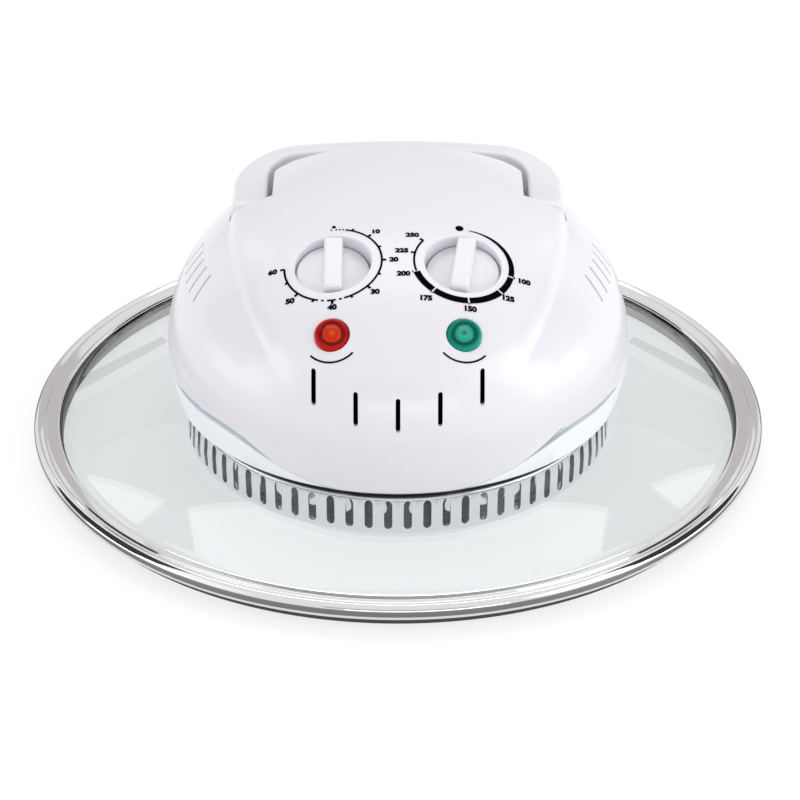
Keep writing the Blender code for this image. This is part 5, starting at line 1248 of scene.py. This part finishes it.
# %% Rear inlet
INLET_LOW, INLET_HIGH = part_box("cord_grommet")
INLET_HEIGHT = (INLET_LOW.z + INLET_HIGH.z) / 2
GROMMET_NECK, GROMMET_FLANGE = 0.0062, 0.0022
INLET_STEPS = 48
inlet = rod("inlet_cut", GROMMET_NECK + FIT, CUT_REACH, -2 * CUT_REACH, INLET_STEPS)
inlet.data.transform(Matrix.Translation((0.0, INLET_HIGH.y - GROMMET_FLANGE, INLET_HEIGHT))
                     @ Matrix.Rotation(-math.pi / 2, 4, "X"))
carve(shell, inlet)
hand_over(smooth(shell), "lid", "white_plastic", "upper_shell")

# %% [markdown]
# ## Base ring
#
# The lower housing of the head shows as a pale blue band under the shell. It is low in
# front and rises round the sides, and where the shell's edge is scooped up its inner lip shows
# as a recessed crescent. Its section changes round the ring, so a grid is carried round: one
# way along the section, the other way round the ring.

# %% Base ring
BASE_FLOOR, BASE_FLOOR_INNER = 0.0025, 0.070
LIP_HEIGHT, LIP_THICKNESS, LIP_LEAN = 0.009, 0.002, 0.0009
BASE_EDGE = 0.0005


def base_section(turn):
    """Floor, tapered wall up to the seam, and lip, in one direction."""
    seam = seam_height(turn) - FIT
    side = side_radius(seam)
    low_edge, high_edge = (min(BASE_EDGE, (seam - HEAD_BASE) / parts) for parts in (2, 3))
    lip = side - WALL - FIT
    lip_inner = lip - LIP_THICKNESS
    foot_inner = min(lip_inner, HEAD_BASE_RADIUS - WALL - FIT - LIP_THICKNESS)
    top = seam + LIP_HEIGHT
    return [(HEAD_BASE_RADIUS - BASE_EDGE, HEAD_BASE), (HEAD_BASE_RADIUS, HEAD_BASE + low_edge),
            (side, seam - high_edge), (side - BASE_EDGE, seam), (lip, seam),
            (lip - LIP_LEAN, top - BASE_EDGE), (lip - LIP_LEAN - BASE_EDGE, top), (lip_inner - LIP_LEAN, top),
            (foot_inner, HEAD_BASE + BASE_FLOOR), (BASE_FLOOR_INNER, HEAD_BASE + BASE_FLOOR),
            (BASE_FLOOR_INNER, HEAD_BASE)]


SECTION_SIDES = len(base_section(0.0))


def base_place(u, v):
    turn = math.tau * v - math.pi
    radius, height = base_section(turn)[round(u * SECTION_SIDES) % SECTION_SIDES]
    return Vector((radius * math.sin(turn), -radius * math.cos(turn), height))


base = wrapped("base", SECTION_SIDES, SKIN_STEPS, base_place, fill=False)
hand_over(smooth(base), "lid", "base_plastic", "base_ring")

# %% [markdown]
# ## Handle
#
# The bail's section is a soft rectangle: nearly flat on top, with a wide round on the outside,
# a tighter one on the inside, and small ones below. The arms slope outwards a little, so that
# they carry on the head's curve.

# %% Handle
INNER_ROUND, OUTER_ROUND, UNDER_ROUND = 0.0018, 0.0046, 0.0012
TOP_SLOPE = 0.12
HANDLE_CORNER_STEPS, UNDER_STEPS = 6, 3


def arc_points(centre, radius, first, last, steps):
    turns = [first + (last - first) * step / steps for step in range(steps + 1)]
    return [(centre[0] + radius * math.cos(turn), centre[1] + radius * math.sin(turn)) for turn in turns]


def handle_section(turn):
    """Outline across the path: offset outwards, and height above the crest."""
    half = half_width(turn)
    slope = TOP_SLOPE * (1.0 - eased(math.sin(turn)))
    outer, inner, under = half - OUTER_ROUND, half - INNER_ROUND, half - UNDER_ROUND
    upright, downright = math.pi / 2 - math.atan(slope), math.pi + math.pi / 2
    foot = -HANDLE_DEPTH + UNDER_ROUND
    points = arc_points((outer, -slope * outer - OUTER_ROUND), OUTER_ROUND, 0.0, upright, HANDLE_CORNER_STEPS)
    points.append((0.0, 0.0))
    inside = (-inner, slope * inner - INNER_ROUND)
    points += arc_points(inside, INNER_ROUND, upright, math.pi, HANDLE_CORNER_STEPS)
    points += arc_points((-under, foot), UNDER_ROUND, math.pi, downright, UNDER_STEPS)
    return points + arc_points((under, foot), UNDER_ROUND, downright, math.tau, UNDER_STEPS)


END_LEAD_SHARE = 0.35
PIN_BORE_RADIUS, PIN_BORE_DEPTH = 0.0030, 0.012
BORE_STEPS = 32


def end_stations():
    """The rounded front end of an arm, as places along Y and shares of the full depth."""
    ends = []
    for step in range(END_STATIONS + 1):
        angle = math.pi / 2 * (step + END_LEAD_SHARE) / (END_STATIONS + END_LEAD_SHARE)
        ends.append((PIVOT_Y - ARM_END * math.cos(angle), math.sin(angle)))
    return ends


handle = follow_path("bail", end_stations(), handle_section)
for side in (-1, 1):
    pin_low, pin_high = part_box("pivot_pin_left" if side < 0 else "pivot_pin_right")
    pin_bore = rod("pin_bore", PIN_BORE_RADIUS, PIN_BORE_DEPTH, 0.0, BORE_STEPS)
    inner_end = pin_high.x if side < 0 else pin_low.x
    pin_bore.data.transform(Matrix.Translation((inner_end, PIVOT_Y, (pin_low.z + pin_high.z) / 2))
                            @ Matrix.Rotation(side * math.pi / 2, 4, "Y"))
    carve(handle, pin_bore)
hand_over(smooth(handle), "handle", "white_plastic", "handle")

# %% [markdown]
# ## Knobs
#
# Each knob sits deep in its well: a disc with a soft edge and a bar right across it, whose top
# stands just proud of the console. The bar is a cube, tapered a little towards its top as
# the mould needs, with all its edges rounded, and is joined to the disc. Only then is the whole
# knob tilted onto its shaft. The timer points straight back, and the thermostat is turned a
# little past its mark.

# %% Knobs
KNOB_RADIUS, KNOB_DISC, KNOB_EDGE = 0.0161, 0.0024, 0.0009
GRIP_WIDTH, GRIP_HEIGHT, GRIP_EDGE = 0.0088, 0.0074, 0.0011
GRIP_TAPER = 0.90
GRIP_EDGE_STEPS = 5
KNOB_LOW = -WELL_DEPTH + FIT
THERMOSTAT_REST = math.radians(-8)
SHAFT_BORE, SHAFT_REACH = 0.0031, 0.0068


def grip_bar(name):
    """The bar across the knob, tapered towards its top and rounded."""
    half = GRIP_WIDTH / 2
    length = math.sqrt((KNOB_RADIUS - KNOB_EDGE) ** 2 - half ** 2)
    low, high = KNOB_LOW + KNOB_DISC / 2, KNOB_LOW + KNOB_DISC + GRIP_HEIGHT
    bar = block(name, Vector((-half, -length, low)), Vector((half, length, high)))
    for vertex in bar.data.vertices:
        if vertex.co.z > (low + high) / 2:
            vertex.co.x *= GRIP_TAPER
    return apply_step(bar, "BEVEL", width=GRIP_EDGE, segments=GRIP_EDGE_STEPS, limit_method="ANGLE")


def knob(name, side, rest_turn):
    """A disc and its bar, with a blind bore for the shaft, tilted into the well."""
    disc_top = KNOB_LOW + KNOB_DISC
    outline = rounded([(0.0, disc_top, 0.0), (KNOB_RADIUS, disc_top, KNOB_EDGE),
                       (KNOB_RADIUS, KNOB_LOW, KNOB_EDGE / 3), (0.0, KNOB_LOW, 0.0)])
    body = turned(name, outline, WELL_STEPS, closed=False)
    bar = grip_bar(name + "_bar")
    bar.data.transform(Matrix.Rotation(rest_turn, 4, "Z"))
    carve(body, bar, "UNION")
    carve(body, rod(name + "_bore", SHAFT_BORE, KNOB_LOW + SHAFT_REACH, KNOB_LOW - CUT_REACH, BORE_STEPS))
    return smooth(tilted(body, on_face(side * KNOB_X, KNOB_Y), KNOB_TILT))


hand_over(knob("timer_dial", -1, 0.0), "timer_knob", "knob_plastic", "timer_knob")
hand_over(knob("thermostat_dial", 1, THERMOSTAT_REST), "thermostat_knob", "knob_plastic", "thermostat_knob")

# %% [markdown]
# ## Lamp lenses
#
# A lens is a stepped cap: an outer collar that sits in the console, a groove, and a domed
# middle. The steps catch light as rings, which is what makes a lens read as a lens.

# %% Lenses
LENS_LOW = -LENS_SEAT + FIT
LENS_COLLAR, LENS_DOME = 0.0014, 0.0034
LENS_STEM = 0.006
LENS_STEPS = 64
LENS_DOME_SHARE, LENS_FLAT_SHARE = 0.56, 0.55
# From the dome's middle outwards: how far each corner lies past the radius that it is counted
# from, how high above its group's level, and its rounding.
DOME_CORNERS = ((0.0, -0.0002, 0.003), (0.0, -0.0011, 0.0012))
GROOVE_CORNERS = ((0.0004, 0.0007, 0.0005), (0.0011, 0.0006, 0.0005))
COLLAR_CORNERS = ((-0.0012, 0.0012, 0.0010), (0.0, -0.0002, 0.0008))


def lens(name, side):
    collar, top, foot = LENS_LOW + LENS_COLLAR, LENS_LOW + LENS_DOME, LENS_LOW - LENS_STEM
    dome = LENS_RADIUS * LENS_DOME_SHARE
    starts = ((dome * LENS_FLAT_SHARE, dome), (dome, dome), (LENS_RADIUS, LENS_RADIUS))
    corners = [(0.0, top, 0.0)]
    groups = (DOME_CORNERS, GROOVE_CORNERS, COLLAR_CORNERS)
    for level, radii, group in zip((top, collar, collar), starts, groups):
        corners += [(radius + out, level + up, size) for radius, (out, up, size) in zip(radii, group)]
    corners += [(LENS_RADIUS, LENS_LOW, 0.0), (LENS_STEM_RADIUS, LENS_LOW, 0.0),
                (LENS_STEM_RADIUS, foot, 0.0), (0.0, foot, 0.0)]
    cap = turned(name, rounded(corners), LENS_STEPS, closed=False)
    return smooth(tilted(cap, on_face(side * LAMP_X, LAMP_PLACE_Y), LAMP_TILT), SOFT_ANGLE)


hand_over(lens("red_cap", -1), "lid", "red_lens", "red_lens")
hand_over(lens("green_cap", 1), "lid", "green_lens", "green_lens")

# %% [markdown]
# ## Printed marks
#
# The dials are printed round the wells, and a curved line sits under each lamp. The timer
# counts minutes on a thin line with a tick at every number and a small one between. The
# thermostat's line swells from a hair to a broad band, broken at each number, and ends thin
# again. Marks are drawn flat in the dial's own plane, laid down on the curved face and given
# a film's thickness. Only plain numbers are printed, and angles run clockwise from the rear.

# %% Drawing flat marks
MARK_LIFT, MARK_FILM = 0.00014, 0.00006
MARK_STEP = math.radians(2.5)
DIGIT_SIZE, DIGIT_WEIGHT = 0.0035, 0.00022
DIGIT_WIDE = 1.08
DOT_STEPS = 20


def clockwise(degrees, radius):
    turn = math.radians(degrees)
    return Vector((radius * math.sin(turn), radius * math.cos(turn), 0.0))


def patch(first, last, inner, outer):
    """A flat piece of a ring. Its inner and outer radius may differ between its two ends."""
    steps = max(round(math.radians(last - first) / MARK_STEP), 1)

    def place(u, v):
        low = inner[0] + (inner[1] - inner[0]) * u
        high = outer[0] + (outer[1] - outer[0]) * u
        return clockwise(first + (last - first) * u, low + (high - low) * v)
    return wrapped("patch", steps, 1, place, fill=False)


def line(first, last, radius, width):
    """A thin line of even width along a circle."""
    return patch(first, last, [radius - width / 2] * 2, [radius + width / 2] * 2)


def tick(degrees, inner, outer, width):
    """A short radial stroke."""
    half = math.degrees(width / (inner + outer))
    return patch(degrees - half, degrees + half, [inner] * 2, [outer] * 2)


def dot(degrees, radius, size):
    return settle(added("dot", bpy.ops.mesh.primitive_circle_add, vertices=DOT_STEPS, radius=size,
                        fill_type="NGON", location=clockwise(degrees, radius)))


def number(text, degrees, radius):
    """An upright number whose middle lies at an angle and radius. A six is a nine upside down,
    because the font's own six doesn't fill at this weight."""
    obj = added("number", bpy.ops.object.text_add, location=clockwise(degrees, radius))
    obj.data.body = str(text)
    if "6" in obj.data.body:
        obj.data.body = obj.data.body[::-1].replace("6", "9")
        obj.rotation_euler.z = math.pi
    obj.data.size = DIGIT_SIZE
    obj.data.offset = DIGIT_WEIGHT
    obj.data.align_x, obj.data.align_y = "CENTER", "CENTER"
    obj.scale.x = DIGIT_WIDE
    bpy.ops.object.convert(target="MESH")
    return settle(bpy.context.object)


def print_on(name, pieces, centre, tilt):
    """Join flat marks, lay them on the face and give them a film's thickness."""
    marks = joined(pieces)
    marks.name = name
    frame_matrix = face_frame(centre, tilt)
    for vertex in marks.data.vertices:
        vertex.co = laid_on(frame_matrix, vertex.co.x, vertex.co.y, MARK_LIFT)
    apply_step(marks, "SHRINKWRAP", target=shell, wrap_mode="ABOVE_SURFACE", offset=MARK_LIFT)
    apply_step(marks, "SOLIDIFY", thickness=MARK_FILM, offset=0.0)
    close_up(marks, fill=False)
    hand_over(marks, "lid", "black_plastic", look="ink")


print("digits", DIGIT_SIZE * MILLIMETRES, "mm")

# %% Timer's dial
DIAL_RADIUS = 0.0213
DIAL_LINE = 0.0009
TICK_LONG, TICK_SHORT, TICK_WIDTH = 0.0019, 0.0013, 0.0011
TIMER_LABEL_RADIUS, TIMER_LABEL_SHIFT = 0.0250, 0.0015
TIMER_STEP, TIMER_END = 45.0, 270.0
TIMER_LINES = [(14.0, 166.0), (169.0, 172.0), (176.0, 186.0), (190.0, 193.0), (197.0, TIMER_END)]
TIMER_DOTS = [-3.0, 3.0, 7.0, 11.0]
TIMER_NUMBERS = (10, 20, 30, 40, 50, 60)


def timer_marks():
    pieces = [line(first, last, DIAL_RADIUS, DIAL_LINE) for first, last in TIMER_LINES]
    pieces += [dot(degrees, DIAL_RADIUS, DIAL_LINE / 2) for degrees in TIMER_DOTS]
    pieces.append(dot(0.0, DIAL_RADIUS + TICK_LONG, DIAL_LINE))
    for count, minutes in enumerate(TIMER_NUMBERS, start=1):
        degrees = TIMER_STEP * count
        pieces.append(tick(degrees, DIAL_RADIUS, DIAL_RADIUS + TICK_LONG, TICK_WIDTH))
        pieces.append(tick(degrees - TIMER_STEP / 2, DIAL_RADIUS, DIAL_RADIUS + TICK_SHORT, TICK_WIDTH))
        aside = TIMER_LABEL_SHIFT * abs(math.sin(math.radians(degrees)))
        pieces.append(number(minutes, degrees, TIMER_LABEL_RADIUS + aside))
    return pieces


print_on("timer_marks", timer_marks(), on_face(-KNOB_X, KNOB_Y), KNOB_TILT)

# %% Thermostat's dial
BAND_STARTS, BAND_LAST = (8.0, 40.0, 70.0), 252.0
BAND_WIDTHS = (0.0004, 0.0030)
BAND_GROWTH = 0.75
BAND_GROWING_SHARE = 0.5
BAND_GAP = 1.1
LABELS = {100: 102.0, 125: 131.0, 150: 174.0, 175: 217.0, 200: 252.0, 225: 282.0, 250: 306.0}
LABEL_RADIUS_FRONT, LABEL_RADIUS_SIDE = 0.0256, 0.0272
FRONT_ANGLES = (120.0, 200.0)
MARK_DOT_ANGLE = -3.0


def band_width(degrees):
    along = (degrees - BAND_STARTS[0]) / (BAND_LAST - BAND_STARTS[0])
    share = min(along / BAND_GROWING_SHARE, 1.0) ** BAND_GROWTH
    return BAND_WIDTHS[0] + (BAND_WIDTHS[1] - BAND_WIDTHS[0]) * share


def band_piece(first, last):
    """A part of the band, kept on the ring's own circle."""
    inner = [DIAL_RADIUS - band_width(degrees) / 2 for degrees in (first, last)]
    outer = [DIAL_RADIUS + band_width(degrees) / 2 for degrees in (first, last)]
    return patch(first, last, inner, outer)


def thermostat_marks():
    stops = [*BAND_STARTS] + [place for place in LABELS.values() if place <= BAND_LAST]
    breaks = set(LABELS.values())
    pieces = []
    for first, last in zip(stops, stops[1:]):
        low = first + (BAND_GAP if first in breaks else 0.0)
        high = last - (BAND_GAP if last in breaks else 0.0)
        pieces.append(band_piece(low, high))
    end = max(LABELS.values())
    pieces.append(line(BAND_LAST, end, DIAL_RADIUS, DIAL_LINE))
    for value, degrees in LABELS.items():
        wide = band_width(degrees) / 2 if degrees <= BAND_LAST else 0.0
        pieces.append(tick(degrees, DIAL_RADIUS + wide, DIAL_RADIUS + TICK_LONG, TICK_WIDTH))
        in_front = FRONT_ANGLES[0] < degrees < FRONT_ANGLES[1]
        pieces.append(number(value, degrees, LABEL_RADIUS_FRONT if in_front else LABEL_RADIUS_SIDE))
    pieces.append(dot(MARK_DOT_ANGLE, DIAL_RADIUS + DIAL_LINE, 2 * DIAL_LINE))
    return pieces


print_on("thermostat_marks", thermostat_marks(), on_face(KNOB_X, KNOB_Y), KNOB_TILT)

# %% Lines under the lamps
SMILE_RADIUS, SMILE_WIDTH = 0.0126, 0.0008
SMILE_SPAN = (134.0, 226.0)
for side in (-1, 1):
    smile = line(*SMILE_SPAN, SMILE_RADIUS, SMILE_WIDTH)
    line_name = "red_line" if side < 0 else "green_line"
    print_on(line_name, [smile], on_face(side * LAMP_X, LAMP_PLACE_Y), LAMP_TILT)

# %% [markdown]
# ## The end
#
# At the end, nothing is left selected.


bpy.ops.object.select_all(action="DESELECT")
